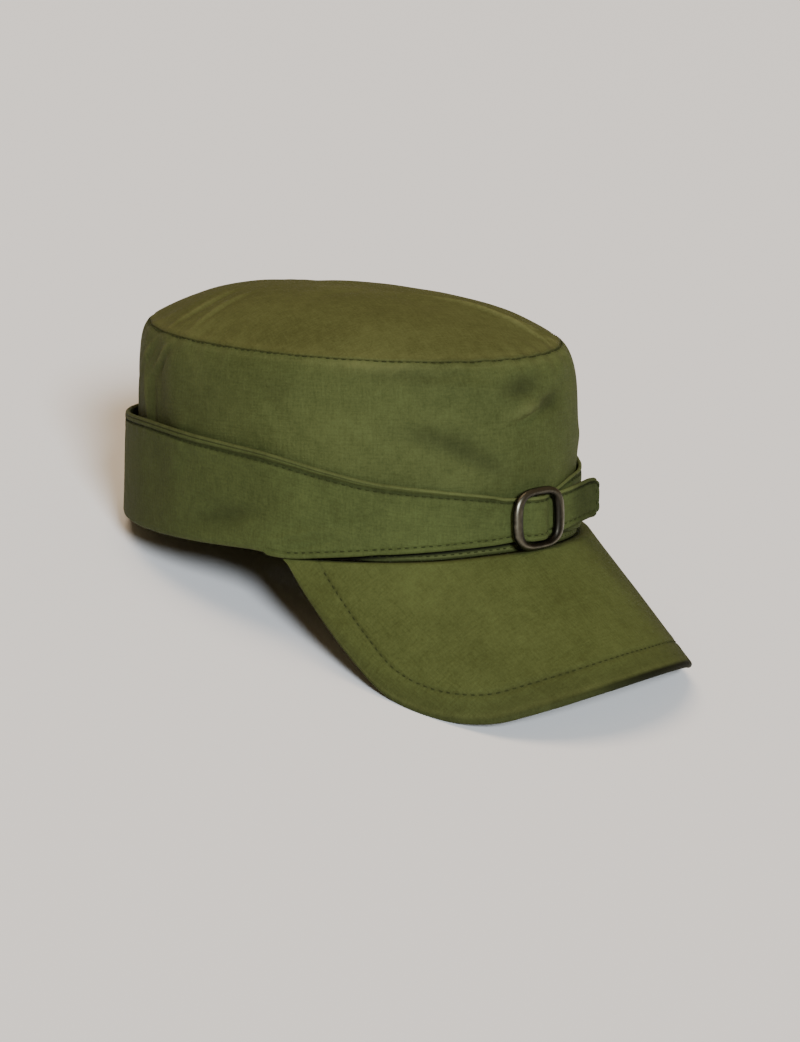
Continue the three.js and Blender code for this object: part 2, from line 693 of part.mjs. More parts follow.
function buckleFrame() {
  const power = 2 / BUCKLE.squareness;
  const curve = (turn) => {
    const cos = Math.cos(turn);
    const sin = Math.sin(turn);
    const x = BUCKLE.halfWidth * Math.sign(cos) * Math.abs(cos) ** power;
    const z = BUCKLE.halfHeight * Math.sign(sin) * Math.abs(sin) ** power;
    return new THREE.Vector2(x, z);
  };
  const evenTurn = (i) => {
    const turn = (i / WIRE_STEPS) * 2 * Math.PI;
    return turn - CORNER_BUNCHING * Math.sin(4 * turn);
  };
  const sections = [];
  for (let i = 0; i < WIRE_STEPS; i += 1) {
    const middle = curve(evenTurn(i));
    const run = curve(evenTurn(i + RUN_STEP)).sub(curve(evenTurn(i - RUN_STEP))).normalize();
    const aside = new THREE.Vector2(run.y, -run.x);
    const width = THREE.MathUtils.lerp(BUCKLE.wireEnd, BUCKLE.wireSide, Math.abs(aside.x) ** 2);
    const section = [];
    for (let k = 0; k < WIRE_SIDES; k += 1) {
      const round = ((k + 0.5) / WIRE_SIDES) * 2 * Math.PI;
      const out = (width / 2) * Math.cos(round);
      const depth = (BUCKLE.wireDepth / 2) * Math.sin(round);
      const x = BUCKLE.x + middle.x + aside.x * out;
      const z = BUCKLE.z + middle.y + aside.y * out;
      section.push(new THREE.Vector3(x, BUCKLE.y + depth, z));
    }
    sections.push(section);
  }
  return loopedSolid(sections, true);
}

// The bar stands behind the frame, and its two feet reach forward into the frame's wire
function buckleBar() {
  const bar = new THREE.CylinderGeometry(1, 1, 2 * BUCKLE.halfHeight, BUCKLE.barSides);
  bar.rotateX(Math.PI / 2);
  bar.scale(BUCKLE.barWidth / 2, BUCKLE.barDepth / 2, 1);
  bar.translate(BUCKLE.x, BUCKLE.y + BUCKLE.barSetBack, BUCKLE.z);
  return bar;
}

function buckleFoot(side) {
  const foot = new THREE.BoxGeometry(BUCKLE.barWidth, BUCKLE.barSetBack, BUCKLE.barFoot);
  foot.translate(BUCKLE.x, BUCKLE.y + BUCKLE.barSetBack / 2, BUCKLE.z + side * BUCKLE.halfHeight);
  return foot;
}

function toManifold(wasm, geometry) {
  const bare = geometry.clone();
  bare.deleteAttribute('normal');
  bare.deleteAttribute('uv');
  const merged = mergeVertices(bare, 1e-4);
  return new wasm.Manifold(new wasm.Mesh({
    numProp: 3,
    vertProperties: new Float32Array(merged.attributes.position.array),
    triVerts: new Uint32Array(merged.index.array),
  }));
}

function fromManifold(solid) {
  const mesh = solid.getMesh();
  const geometry = new THREE.BufferGeometry();
  geometry.setAttribute('position', new THREE.BufferAttribute(new Float32Array(mesh.vertProperties), 3));
  geometry.setIndex(new THREE.BufferAttribute(new Uint32Array(mesh.triVerts), 1));
  return geometry;
}

// Rest pose: the cap stands on the back of its fold and on the two low corners of its peak

function lowest(geometry, tilt) {
  const point = new THREE.Vector3();
  let least = Infinity;
  for (let i = 0; i < geometry.attributes.position.count; i += 1) {
    point.fromBufferAttribute(geometry.attributes.position, i);
    least = Math.min(least, point.z * Math.cos(tilt) - point.y * Math.sin(tilt));
  }
  return least;
}

function restTilt(behind, ahead) {
  let low = 0;
  let high = PEAK.slope;
  for (let halving = 0; halving < 40; halving += 1) {
    const tilt = (low + high) / 2;
    if (lowest(behind, tilt) > lowest(ahead, tilt)) low = tilt;
    else high = tilt;
  }
  return low;
}

// Presses what would reach below the floor flat against it
function flattenOnFloor(geometry, tilt, floor) {
  const positions = geometry.attributes.position;
  for (let i = 0; i < positions.count; i += 1) {
    const y = positions.getY(i);
    const z = positions.getZ(i);
    const height = z * Math.cos(tilt) - y * Math.sin(tilt);
    const lift = Math.max(floor - height, 0);
    positions.setY(i, y - lift * Math.sin(tilt));
    positions.setZ(i, z + lift * Math.cos(tilt));
  }
}

function piece(name, geometry, color, roughness, metalness) {
  const mesh = new THREE.Mesh(geometry, new THREE.MeshStandardMaterial({ color, roughness, metalness }));
  mesh.name = name;
  return mesh;
}

const wasm = await Module();
wasm.setup();
const bucklePieces = [buckleFrame(), buckleBar(), buckleFoot(-1), buckleFoot(1)];
const buckle = fromManifold(bucklePieces.map((shape) => toManifold(wasm, shape)).reduce((a, b) => a.add(b)));

const flapGeometry = earFlap();
const peakGeometry = peak();
const tilt = restTilt(flapGeometry, peakGeometry);
const floor = lowest(flapGeometry, tilt) + REST_GIVE;
flattenOnFloor(flapGeometry, tilt, floor);
flattenOnFloor(peakGeometry, tilt, floor);

const cap = new THREE.Group();
cap.add(piece('crown_top', crownTop(), OLIVE, 0.85, 0));
cap.add(piece('crown_side', crownSide(), OLIVE, 0.85, 0));
cap.add(piece('peak', peakGeometry, OLIVE, 0.8, 0));
cap.add(piece('ear_flap', flapGeometry, OLIVE_SHADE, 0.85, 0));
cap.add(piece('buckle', buckle, GUNMETAL, 0.4, 1));
cap.rotation.x = -tilt;

const part = new THREE.Group();
part.add(cap);
part.updateMatrixWorld(true);
const bounds = new THREE.Box3().setFromObject(part, true);
cap.position.set(-(bounds.min.x + bounds.max.x) / 2, -(bounds.min.y + bounds.max.y) / 2, -floor);

export default part;
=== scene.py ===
"""Looks of a soft olive cloth field cap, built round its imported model.

A flat-topped crown, a stiff curved peak, and an ear flap that is folded up round the back and sides,
narrows to two straps at the front and is fastened there by a metal slide buckle.

Shapes are worked out in millimetres in the cap's own frame: +z up out of the rim plane, -y the front,
+x the wearer's left, and an angle round the cap from the front, positive towards the wearer's left.
placed() then gives them the tilt at which the cap rests on a floor, in metres.
"""

import bpy
import numpy as np
from mathutils import Matrix


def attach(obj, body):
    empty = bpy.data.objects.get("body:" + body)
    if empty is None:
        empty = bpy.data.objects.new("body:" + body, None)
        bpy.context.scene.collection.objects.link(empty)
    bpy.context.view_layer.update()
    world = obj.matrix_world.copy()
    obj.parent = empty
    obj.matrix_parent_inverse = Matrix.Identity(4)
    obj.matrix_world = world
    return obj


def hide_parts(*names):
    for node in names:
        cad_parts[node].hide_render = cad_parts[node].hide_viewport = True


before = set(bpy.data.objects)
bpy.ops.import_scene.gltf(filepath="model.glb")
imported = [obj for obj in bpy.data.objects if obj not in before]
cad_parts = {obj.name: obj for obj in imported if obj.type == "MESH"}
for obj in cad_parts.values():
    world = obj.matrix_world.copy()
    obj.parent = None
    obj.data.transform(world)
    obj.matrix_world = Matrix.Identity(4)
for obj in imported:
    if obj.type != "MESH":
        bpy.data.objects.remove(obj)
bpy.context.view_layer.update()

MM = 0.001

# Resting place of the cap's own frame
TILT = np.radians(14.372)
SEAT_Y = 23.5882
SEAT_Z = 26.7445

# Cloth
CLOTH = 1.6
FLAP_CLOTH = 1.8
STRAP_CLOTH = 1.2
LOOP_CLOTH = 1.0
PEAK_THICKNESS = 3.0
CLEARANCE = 0.3
SEWN_IN = 0.1
# points of the half round over a cloth's edge, and over the peak's thicker one
EDGE_STEPS = 5
PEAK_EDGE_STEPS = 9

# Crown: the wall at its widest, the seam under the top panel, and the dome of the top panel
CROWN_LENGTH = 102.0
CROWN_WIDTH = 82.4
CROWN_EGG = 0.03
MEAN_RADIUS = (CROWN_LENGTH + CROWN_WIDTH) / 2
ROUND_LENGTH = 2 * np.pi * MEAN_RADIUS
SEAM_LENGTH = 95.1
SEAM_WIDTH = 77.7
SEAM_BACK = 1.3
SEAM_HEIGHT = 79.5
SEAM_SLOPE = 0.056
SEAM_DROP = 6.6
FLARE_HEIGHT = 50.0
FLARE_POWER = 1.5
DOME_RISE = 18.7
DOME_LEAN = -5.8
DOME_POWER = 2.8

# Peak: the oval it springs from, its slope and its flat outline
PEAK_LENGTH = 104.95
PEAK_WIDTH = 83.9
PEAK_BACK = -0.7
PEAK_HEIGHT = 0.2
PEAK_SLOPE = np.radians(44.9)
PEAK_SPAN = 99.4
PEAK_REACH = 143.8
PEAK_SKEW = 1.3
CORNER_RADIUS = 37.7
CORNER_LENGTH = 1.25
CORNER_POWER = 0.9
PEAK_TAB = 3.0
PEAK_BOW = 19.4
PEAK_FAN = 0.096
PEAK_CURL = -3.9
PEAK_FLARE = -7.3
BEND_LENGTH = 70.0
PEAK_STITCH_INSET = 12.5
# angle from the front, and how far down the slope the peak leaves the crown
PEAK_SHOULDER = np.array([(0, 2.6), (18, 2.9), (34, 4.2), (60, 4.6), (80, 4.6)])

# Flap edges by angle: right top, right bottom, left top, left bottom
FLAP_EDGES = np.array([
    (14, 21.3, 2.3, 23.4, 1.6),
    (22, 23.3, 1.9, 24.9, 1.4),
    (34, 25.9, 1.0, 25.6, 0.7),
    (47, 28.8, -0.2, 27.0, -0.2),
    (60, 33.9, -1.7, 31.4, -1.7),
    (66, 36.5, -2.5, 34.8, -2.5),
    (70, 38.1, -2.3, 36.9, -2.3),
    (76, 40.1, -0.7, 39.8, -0.7),
    (91, 43.2, -0.4, 43.0, -0.4),
    (113, 46.0, -0.4, 46.0, -0.4),
    (140, 44.5, -0.4, 44.5, -0.4),
    (180, 42.6, -0.4, 42.6, -0.4),
])
# by angle: how far the flap's face stands off the crown, its lean back in, and the crown's flare
BAND_FIT = np.array([
    (0, 2.1, 0.0, 0.0),
    (30, 2.2, 0.0, 0.0),
    (45, 2.5, 0.3, 0.0),
    (60, 3.4, 0.6, 0.4),
    (75, 4.5, 0.9, 1.2),
    (90, 5.6, 1.3, 2.4),
    (120, 7.5, 2.1, 4.0),
    (150, 8.9, 2.6, 5.2),
    (180, 9.4, 2.7, 5.5),
])
# the buckled strap pulls the flap in at the left front: angle, length, depth
STRAP_PULL = (42.0, 26.0, 1.2)
FOLD_ENDS = (74.0, 79.0)
WALL_STEP = (66.0, 73.0)
FOLD_ROUND = (3.2, 2.2)
FOLD_LENGTH = 4.3

# Straps seen from above: x, y, top, bottom. Right: y is the outer face. Left: y is the middle.
RIGHT_STRAP = np.array([
    (39.5, -100.9, 22.4, 6.4),
    (35.8, -101.3, 22.4, 6.3),
    (32.0, -101.7, 22.5, 6.2),
    (24.0, -102.4, 21.2, 5.0),
    (16.5, -103.0, 20.3, 4.0),
    (12.5, -103.2, 20.0, 3.5),
    (8.5, -103.3, 20.0, 3.1),
    (5.0, -103.8, 20.0, 2.7),
    (2.4, -105.4, 20.1, 2.5),
    (-0.2, -106.7, 20.1, 2.4),
    (-4.4, -106.7, 20.1, 2.4),
    (-7.0, -105.3, 20.1, 2.3),
    (-9.8, -103.5, 20.1, 2.8),
    (-14.2, -102.8, 20.3, 2.8),
    (-18.6, -101.5, 20.8, 2.5),
])
LEFT_STRAP = np.array([
    (24.0, -98.0, 24.0, 1.6),
    (19.0, -99.6, 22.9, 1.9),
    (14.5, -100.5, 21.6, 2.2),
    (10.0, -101.0, 20.4, 2.6),
    (5.0, -101.5, 19.8, 2.8),
])
LOOP_TOP = 19.7
LOOP_BOTTOM = 2.8
LOOP_START = 1.0
LOOP_END = 0.3

# Slide buckle
BUCKLE_X = -2.8
BUCKLE_Y = -105.6
BUCKLE_Z = 11.2
BUCKLE_WIDTH = 12.2
BUCKLE_HEIGHT = 10.95
BUCKLE_SQUARENESS = 3.2
WIRE_SIDE = 4.8
WIRE_END = 3.3
WIRE_DEPTH = 3.4
BAR_WIDTH = 3.0
BAR_DEPTH = 1.5
BAR_BACK = 2.4

# Folds, a row each: across or angle, up, turn in degrees, length, width, depth (minus stands proud)
SIDE_FOLDS = [
    (-113.5, 66, -83, 22, 7, 1.8),
    (-104, 60, -80, 20, 7, -1.0),
    (-57, 62, -28, 30, 9, 1.2),
    (-17, 52, -18, 34, 8, 1.5),
    (-24, 65, -12, 26, 9, -0.9),
    (0, 11, 0, 26, 14, 1.5),
    (42, 16, 0, 26, 20, 1.4),
    (95, 62, -60, 24, 9, 1.5),
    (165, 64, 40, 26, 9, 1.4),
]
SIDE_CREASES = [
    (-112.5, 72, 40, 12, 1.2, -1.1),
    (-110.5, 70, 40, 12, 1.9, 1.0),
    (-121.5, 73, 44, 10, 1.2, -0.9),
    (-119.5, 71, 44, 10, 1.6, 0.8),
    (-121.0, 57, -80, 13, 1.6, -0.9),
    (-116.5, 54, -82, 14, 2.4, 1.1),
    (-1.5, 51, 12, 9, 1.6, 2.0),
    (6.5, 56, 8, 9, 3.6, 2.2),
    (-1, 55, 14, 12, 2.6, -0.8),
    (-3, 64, 6, 14, 5.0, 2.3),
    (-32, 71, -4, 24, 3.4, 1.6),
    (-30, 44, -20, 16, 4.0, 1.2),
    (-20, 36, -16, 15, 3.6, 1.2),
    (-45, 73.5, -3, 18, 2.6, -0.7),
    (-72, 58, -60, 14, 4.0, 0.7),
]
TOP_FOLDS = [
    (-62, 35, 165, 18, 5, 2.2),
    (14, -58, -62, 34, 7, -1.4),
    (26, -50, -62, 30, 7, 1.2),
    (-55, -37, 145, 18, 7, 0.9),
    (54, -46, -58, 26, 13, -1.7),
    (20, 45, 30, 34, 10, 1.4),
]
TOP_CREASES = [
    (-58, 35.5, 167, 17, 1.4, -0.9),
    (-58, 32.0, 165, 15, 2.2, 0.9),
    (-60, 20.0, 172, 14, 1.3, -0.7),
    (-60, 17.5, 172, 14, 1.9, 0.6),
    (18, -62, -63, 28, 1.5, -1.8),
    (21.5, -60.5, -63, 28, 2.0, 1.6),
    (27, -62, -62, 24, 1.7, -1.2),
    (31, -60, -60, 24, 2.0, 1.2),
    (37, -82, -38, 7, 1.5, -1.6),
    (40, -79, -38, 7, 1.7, 1.4),
    (44, -77, -34, 7, 1.5, -1.6),
    (48, -73, -30, 7, 1.7, 1.3),
]
FLAP_FOLDS = [
    (-81, 15, 20, 20, 7, 0.9),
    (-107, 24, 70, 16, 8, 0.9),
    (130, 25, 60, 18, 8, 0.9),
]
FLAP_CREASES = [
    (-65, 8, 14, 12, 1.6, -1.2),
    (-62, 5, 12, 10, 1.6, 1.2),
    (-55, 12.5, 8, 12, 2.0, 0.9),
    (-84, 13, 12, 14, 3.2, 1.4),
    (-96, 30, 60, 12, 4.0, 0.8),
]
# Painted shade over folds and on the flank turned from the light, as bells: angle, height, turn, length,
# width, how dark
SIDE_PAINTED_SHADE = [
    (-4, 63.5, 6, 13, 4.5, 0.5),
    (7, 56, 8, 9, 3.5, 0.52),
    (-30, 45, -12, 18, 4.5, 0.28),
    (-19, 36, -24, 15, 4, 0.3),
    (-38, 70, -3, 22, 4, 0.22),
    (-69, 65, 0, 9, 5, 0.1),
    (-125, 45, 90, 80, 55, 0.3),
]
FLAP_PAINTED_SHADE = [
    (-84, 13, 12, 13, 4, 0.26),
    (-125, 20, 90, 80, 60, 0.32),
]

# Sewing
STITCH_PITCH = 3.2
STITCH_LENGTH = 2.05
THREAD_RADIUS = 0.23
SEAM_DITCH = 0.5
# how dark the painted shade along the seam's ditch is
SEAM_PAINTED_SHADE = 0.3
SEAM_STITCH_SINK = 0.05
SEAM_STITCH_DROP = 0.35
BASE_STITCH_RISE = 1.9
BASE_STITCH_SINK = 0.16
TAB_STITCH_INSET = 2.4
# gathers beside the seam: how deep, and how far from it they fade
PUCKER_DEPTH = 0.42
PUCKER_REACH = 8
# the wall's face ends this far under the seam
WALL_EDGE = 0.56
# how far in from the seam the rows of the wall's turned-in allowance lie
TURNED_IN = (2.2, 4.2, 6.2)
# by angle: how open the seam of the top panel is
SEAM_OPEN = np.array([
    (-180, 0.45),
    (-95, 0.4),
    (-80, 0.1),
    (-40, 0.0),
    (-28, 0.45),
    (0, 0.5),
    (40, 0.6),
    (180, 0.8),
])
# Shadowed hollow of the wall just under the buckled strap: its two ends by angle, half height, depth
HOLLOW_ENDS = (-62.0, 5.0)
HOLLOW_SIZE = (1.0, 1.2)
EDGE_STITCH = 2.3
TAB_CORNER = 4.4
# upper hem: where its two layers meet, and the angles between which they begin to part
HAIRLINE = 1.15
HEM_PARTS = (25, 60)
# Upper hem by angle: how far down its stitched channel runs, the channel's half width, and its depth
HEM = np.array([
    (0, 1.8, 0.5, 0.45),
    (10, 1.8, 0.6, 0.55),
    (30, 2.2, 0.85, 0.7),
    (60, 3.1, 0.95, 0.8),
    (90, 3.5, 0.75, 0.7),
    (115, 3.3, 0.5, 0.5),
    (180, 3.2, 0.5, 0.5),
])


def placed(points):
    """The cap's own frame turned about x by its resting tilt and set on the floor, in metres.

    y becomes y cos + z sin + seat, and z becomes z cos - y sin + seat; nothing goes below the floor.
    """
    x, y, z = np.moveaxis(np.asarray(points, float), -1, 0)
    back = y * np.cos(TILT) + z * np.sin(TILT) + SEAT_Y
    up = z * np.cos(TILT) - y * np.sin(TILT) + SEAT_Z
    return np.stack([x, back, np.maximum(up, 0)], -1) * MM


def unit(vectors):
    """Vectors divided by their own length."""
    return vectors / np.maximum(np.linalg.norm(vectors, axis=-1, keepdims=True), 1e-9)


def ease(value, start, end):
    """Smooth step from 0 at start to 1 at end: 3t squared less 2t cubed."""
    t = np.clip((value - start) / (end - start), 0, 1)
    return t * t * (3 - 2 * t)


def bell(value, middle, width):
    """1 at the middle, falling off to both sides: exp(-((value - middle) / width)^2)."""
    return np.exp(-(((value - middle) / width) ** 2))


def grid(*coordinates):
    """Coordinates spread over one another's grid and joined as points."""
    return np.stack(np.broadcast_arrays(*coordinates), -1)


def lengths_along(points):
    """Distance along a line at each of its points."""
    steps = np.linalg.norm(np.diff(points, axis=0), axis=1)
    return np.concatenate([[0], np.cumsum(steps)])


def on_line(values, length, at):
    """Values kept at a line's points, read at distances along it."""
    return np.stack([np.interp(at, length, column) for column in values.T], -1)


def read_table(places, values, at):
    """Smooth curve through a short table's rows.

    Each row's slope is that of the line between its neighbours, and a cubic joins row to row.
    """
    places = np.asarray(places, float)
    values = np.asarray(values, float)
    at = np.clip(np.asarray(at, float), places[0], places[-1])
    before = np.maximum(np.arange(len(places)) - 1, 0)
    after = np.minimum(np.arange(len(places)) + 1, len(places) - 1)
    spread = (places[after] - places[before]).reshape((-1,) + (1,) * (values.ndim - 1))
    slope = (values[after] - values[before]) / spread
    i = np.clip(np.searchsorted(places, at, side="left") - 1, 0, len(places) - 2)
    span = places[i + 1] - places[i]
    t = (at - places[i]) / span
    if values.ndim > 1:
        span, t = span[..., None], t[..., None]
    blend = t * t * (3 - 2 * t)
    bend = t * (1 - t) ** 2 * span * slope[i] + t * t * (t - 1) * span * slope[i + 1]
    return values[i] + (values[i + 1] - values[i]) * blend + bend


def fold_sink(across, up, folds, period=None):
    """Sum of stretched bells: depth times exp(-(along/length)^2 - (aside/width)^2)."""
    total = np.zeros(np.broadcast(across, up).shape)
    for middle, height, turn, length, width, depth in folds:
        dx = across - middle
        if period:
            dx = (dx + period / 2) % period - period / 2
        dy = up - height
        cos, sin = np.cos(np.radians(turn)), np.sin(np.radians(turn))
        along = (dx * cos + dy * sin) / length
        aside = (dy * cos - dx * sin) / width
        total = total + depth * np.exp(-along * along - aside * aside)
    return total


def wall_sink(angle, height, folds):
    """fold_sink round the crown, for folds placed by their angle in degrees."""
    rows = [(np.radians(degrees) * MEAN_RADIUS, *row) for degrees, *row in folds]
    return fold_sink(angle * MEAN_RADIUS, height, rows, ROUND_LENGTH)


def ripples(seed, count, width, height, lengths, depth):
    """A scatter of soft shallow folds, as worn cotton has: a seeded table of bells."""
    draw = np.random.default_rng(seed)
    rows = []
    for _ in range(count):
        length = draw.uniform(*lengths)
        rows.append((
            draw.uniform(-width / 2, width / 2),
            draw.uniform(*height),
            draw.uniform(-90, 90),
            length,
            length * draw.uniform(0.25, 0.5),
            draw.uniform(-depth, depth),
        ))
    return rows


side_creases = SIDE_CREASES + ripples(11, 70, 360, (20, 84), (7, 18), 0.6)
flap_creases = FLAP_CREASES + ripples(12, 60, 360, (-4, 46), (6, 15), 0.45)
top_creases = TOP_CREASES + ripples(13, 60, 190, (-100, 100), (8, 20), 0.6)
side_ridges = [fold for fold in SIDE_CREASES if fold[-1] < 0]
top_ridges = [fold for fold in TOP_CREASES if fold[-1] < 0]


# Crown


def oval(angle, length, width, back=0.0):
    """Egg-shaped oval: x = width sin(a)(1 - egg cos(a)), y = back - length cos(a)."""
    x = width * np.sin(angle) * (1 - CROWN_EGG * np.cos(angle))
    return x, back - length * np.cos(angle)


def oval_outward(angle):
    """Level direction at right angles to the crown's oval."""
    dx = CROWN_WIDTH * (np.cos(angle) - CROWN_EGG * np.cos(2 * angle))
    dy = CROWN_LENGTH * np.sin(angle)
    size = np.hypot(dx, dy)
    return dy / size, -dx / size


# The right strap's lower edge by angle, from its own table and the flap's
STRAP_UNDERSIDE = (
    np.concatenate([
        -FLAP_EDGES[4::-1, 0],
        np.degrees(np.arctan2(RIGHT_STRAP[::-1, 0], -RIGHT_STRAP[::-1, 1])),
    ]),
    np.concatenate([FLAP_EDGES[4::-1, 2], RIGHT_STRAP[::-1, 3]]),
)


def degrees_round(angle):
    """Degrees from the front, -180 to 180."""
    return np.degrees((angle + np.pi) % (2 * np.pi) - np.pi)


def degrees_off(angle):
    """Degrees away from the front, either way round."""
    return np.abs(degrees_round(angle))


def angle_of(points):
    """Angle round the crown's oval at which points lie."""
    return np.arctan2(points[..., 0] / CROWN_WIDTH, -points[..., 1] / CROWN_LENGTH)


def seam_height(angle):
    """Height of the top panel's seam: a plane that rises with slope times y towards the back."""
    return SEAM_HEIGHT + SEAM_SLOPE * oval(angle, SEAM_LENGTH, SEAM_WIDTH, SEAM_BACK)[1]


def seam_openness(angle):
    """How open the seam's ditch is: pulled shut on the right side, more open at the front and back."""
    return read_table(SEAM_OPEN[:, 0], SEAM_OPEN[:, 1], degrees_round(angle))


def wall_outward(angle, height):
    """Direction out of the wall, which leans in ever more steeply up to the seam."""
    out_x, out_y = oval_outward(angle)
    drop = seam_height(angle) - height
    lean = (CROWN_LENGTH - SEAM_LENGTH) / SEAM_DROP * np.exp(-drop / SEAM_DROP)
    return unit(grid(out_x, out_y, lean))


def wall_base(angle, height):
    """The wall without fine creases.

    The oval shrinks to the seam's by exp(-drop/rounding), flares out to the rim at the back, and sinks
    by the main folds.
    """
    rounding = np.exp(-(seam_height(angle) - height) / SEAM_DROP)
    length = CROWN_LENGTH + (SEAM_LENGTH - CROWN_LENGTH) * rounding
    width = CROWN_WIDTH + (SEAM_WIDTH - CROWN_WIDTH) * rounding
    x, y = oval(angle, length, width, SEAM_BACK * rounding)
    share = np.clip(1 - height / FLARE_HEIGHT, 0, 1)
    flare = read_table(BAND_FIT[:, 0], BAND_FIT[:, 3], degrees_off(angle)) * share**FLARE_POWER
    sink = wall_sink(angle, height, SIDE_FOLDS) * (1 - rounding)
    out_x, out_y = oval_outward(angle)
    offset = flare - sink
    return grid(x + out_x * offset, y + out_y * offset, height)


def strap_hollow(angle, height):
    """0 to 1 in the hollow just under the strap's lower edge: a bell over the height, eased at its ends."""
    degrees = degrees_round(angle)
    edge = np.interp(degrees, *STRAP_UNDERSIDE)
    off = (height - edge + 0.8) / HOLLOW_SIZE[0]
    start, end = HOLLOW_ENDS
    ends = ease(degrees, start - 8, start + 8) * (1 - ease(degrees, end - 3, end + 3))
    return ends * np.exp(-(off**4))


def puckers(around, away):
    """Gathers that a seam pulls in: a sine whose pitch wanders round it, fading as a bell away from it."""
    wave = np.sin(around / 2.5 + 2.6 * np.sin(around / 21)) * (0.65 + 0.35 * np.sin(around / 37 + 1))
    return PUCKER_DEPTH * wave * bell(away, 0, PUCKER_REACH)


def wall_relief(angle, height):
    """Fine creases, the dip under the seam, the puckers along it, and the strap's hollow."""
    drop = seam_height(angle) - height
    crease = wall_sink(angle, height, side_creases) * (1 - np.exp(-drop / 5))
    ditch = SEAM_DITCH * seam_openness(angle) * np.exp(-drop / 0.8)
    hollow = HOLLOW_SIZE[1] * strap_hollow(angle, height)
    return puckers(angle * MEAN_RADIUS, drop) - crease - ditch - hollow


def wall_bottom(angle):
    """The wall stands on the peak at the front and on the flap's fold behind it."""
    degrees = degrees_off(angle)
    root = peak_surface(np.radians(np.minimum(degrees, FOLD_ENDS[0])), None)[..., 2]
    on_fold = read_table(FLAP_EDGES[:, 0], FLAP_EDGES[:, 2], degrees) + FLAP_CLOTH
    share = ease(degrees, *WALL_STEP)
    return root + (on_fold - root) * share - SEWN_IN


def dome_point(angle, share, low=0.0):
    """Top panel: share is 0 at its middle and 1 at the seam.

    Height is the seam plane's plus rise times (1 - share^power), less the folds, which fade at the seam.
    """
    x, y = oval(angle, SEAM_LENGTH * share, SEAM_WIDTH * share, SEAM_BACK)
    rise = (DOME_RISE + DOME_LEAN * x / 100) * (1 - share**DOME_POWER)
    sink = fold_sink(x, y, TOP_FOLDS) * (1 - share**6)
    z = SEAM_HEIGHT + SEAM_SLOPE * y + rise - sink - low
    return grid(x, y, z)


# Peak


def shoulder_along(angle):
    """How far down its slope the peak leaves the crown, by angle from the table."""
    return read_table(PEAK_SHOULDER[:, 0], PEAK_SHOULDER[:, 1], np.degrees(np.abs(angle)))


def peak_surface(angle, along):
    """Upper face of the peak: straight lines down the slope from an oval, fanned, curled and flared.

    The curl and flare grow with the square of the distance along the slope.
    """
    if along is None:
        along = shoulder_along(angle)
    x, y = oval(angle, PEAK_LENGTH, PEAK_WIDTH, PEAK_BACK)
    cos, sin = np.cos(PEAK_SLOPE), np.sin(PEAK_SLOPE)
    fan = PEAK_FAN * np.sin(angle)
    size = np.sqrt(fan * fan + 1)
    bent = (along / BEND_LENGTH) ** 2
    x = x + along * fan / size + PEAK_FLARE * np.sin(angle) * bent
    y = y - along * cos / size + PEAK_CURL * bent * sin
    z = PEAK_HEIGHT - along * sin / size - PEAK_CURL * bent * cos
    return grid(x, y, z)


# Where the peak springs from, rolled out flat: distance across from the middle, and down the slope
SPRING_ANGLE = np.linspace(0, np.pi / 2, 721)
spring_x, spring_y, spring_z = peak_surface(SPRING_ANGLE, 0.0).T
SPRING_ALONG = -spring_y * np.cos(PEAK_SLOPE) - spring_z * np.sin(PEAK_SLOPE)
spring_aside = spring_y * np.sin(PEAK_SLOPE) - spring_z * np.cos(PEAK_SLOPE)
SPRING_ACROSS = lengths_along(grid(spring_x, spring_aside))
PEAK_END_ANGLE = np.interp(PEAK_SPAN - 0.7, SPRING_ACROSS, SPRING_ANGLE)


def peak_point(u, v):
    """Point of the upper face from its flat coordinates: across from the middle, and down the slope."""
    angle = np.interp(np.abs(u), SPRING_ACROSS, SPRING_ANGLE)
    start = np.interp(np.abs(u), SPRING_ACROSS, SPRING_ALONG)
    return peak_surface(angle * np.sign(u), v - start)


def peak_outward(u, v):
    """Direction out of the peak: the cross product of small steps down the slope and across it."""
    step = 0.5
    across = peak_point(u + step, v) - peak_point(u - step, v)
    along = peak_point(u, v + step) - peak_point(u, v - step)
    return unit(np.cross(along, across))


def peak_outline(inset, side):
    """Half of the flat outline: bowed front edge, rounded corner, straight side."""
    span = PEAK_SPAN - inset
    radius = CORNER_RADIUS - inset / 2

    def front(u):
        """How far down the front edge lies: the reach, less the skew and the bow's square."""
        skew = side * PEAK_SKEW * np.sin(np.pi * u / PEAK_SPAN)
        return PEAK_REACH - inset - skew - PEAK_BOW * (u / 100) ** 2

    straight = front(span - radius) - CORNER_LENGTH * radius
    u = np.linspace(0, span - radius, 60)
    turn = np.linspace(0, np.pi / 2, 72)[1:]
    corner = span - radius + radius * np.sin(turn) ** CORNER_POWER
    rise = np.abs(np.cos(turn)) ** CORNER_POWER
    end = np.interp(PEAK_END_ANGLE, SPRING_ANGLE, SPRING_ALONG) + shoulder_along(PEAK_END_ANGLE) + PEAK_TAB
    across = np.concatenate([u, corner, [span, span]])
    along = np.concatenate(
        [front(u), straight + (front(corner) - straight) * rise, [(straight + end) / 2, end]]
    )
    return grid(across, along)


def along_line(points, share):
    """Points at shares of a line's length."""
    length = lengths_along(points)
    return on_line(points, length, share * length[-1])


# Ear flap


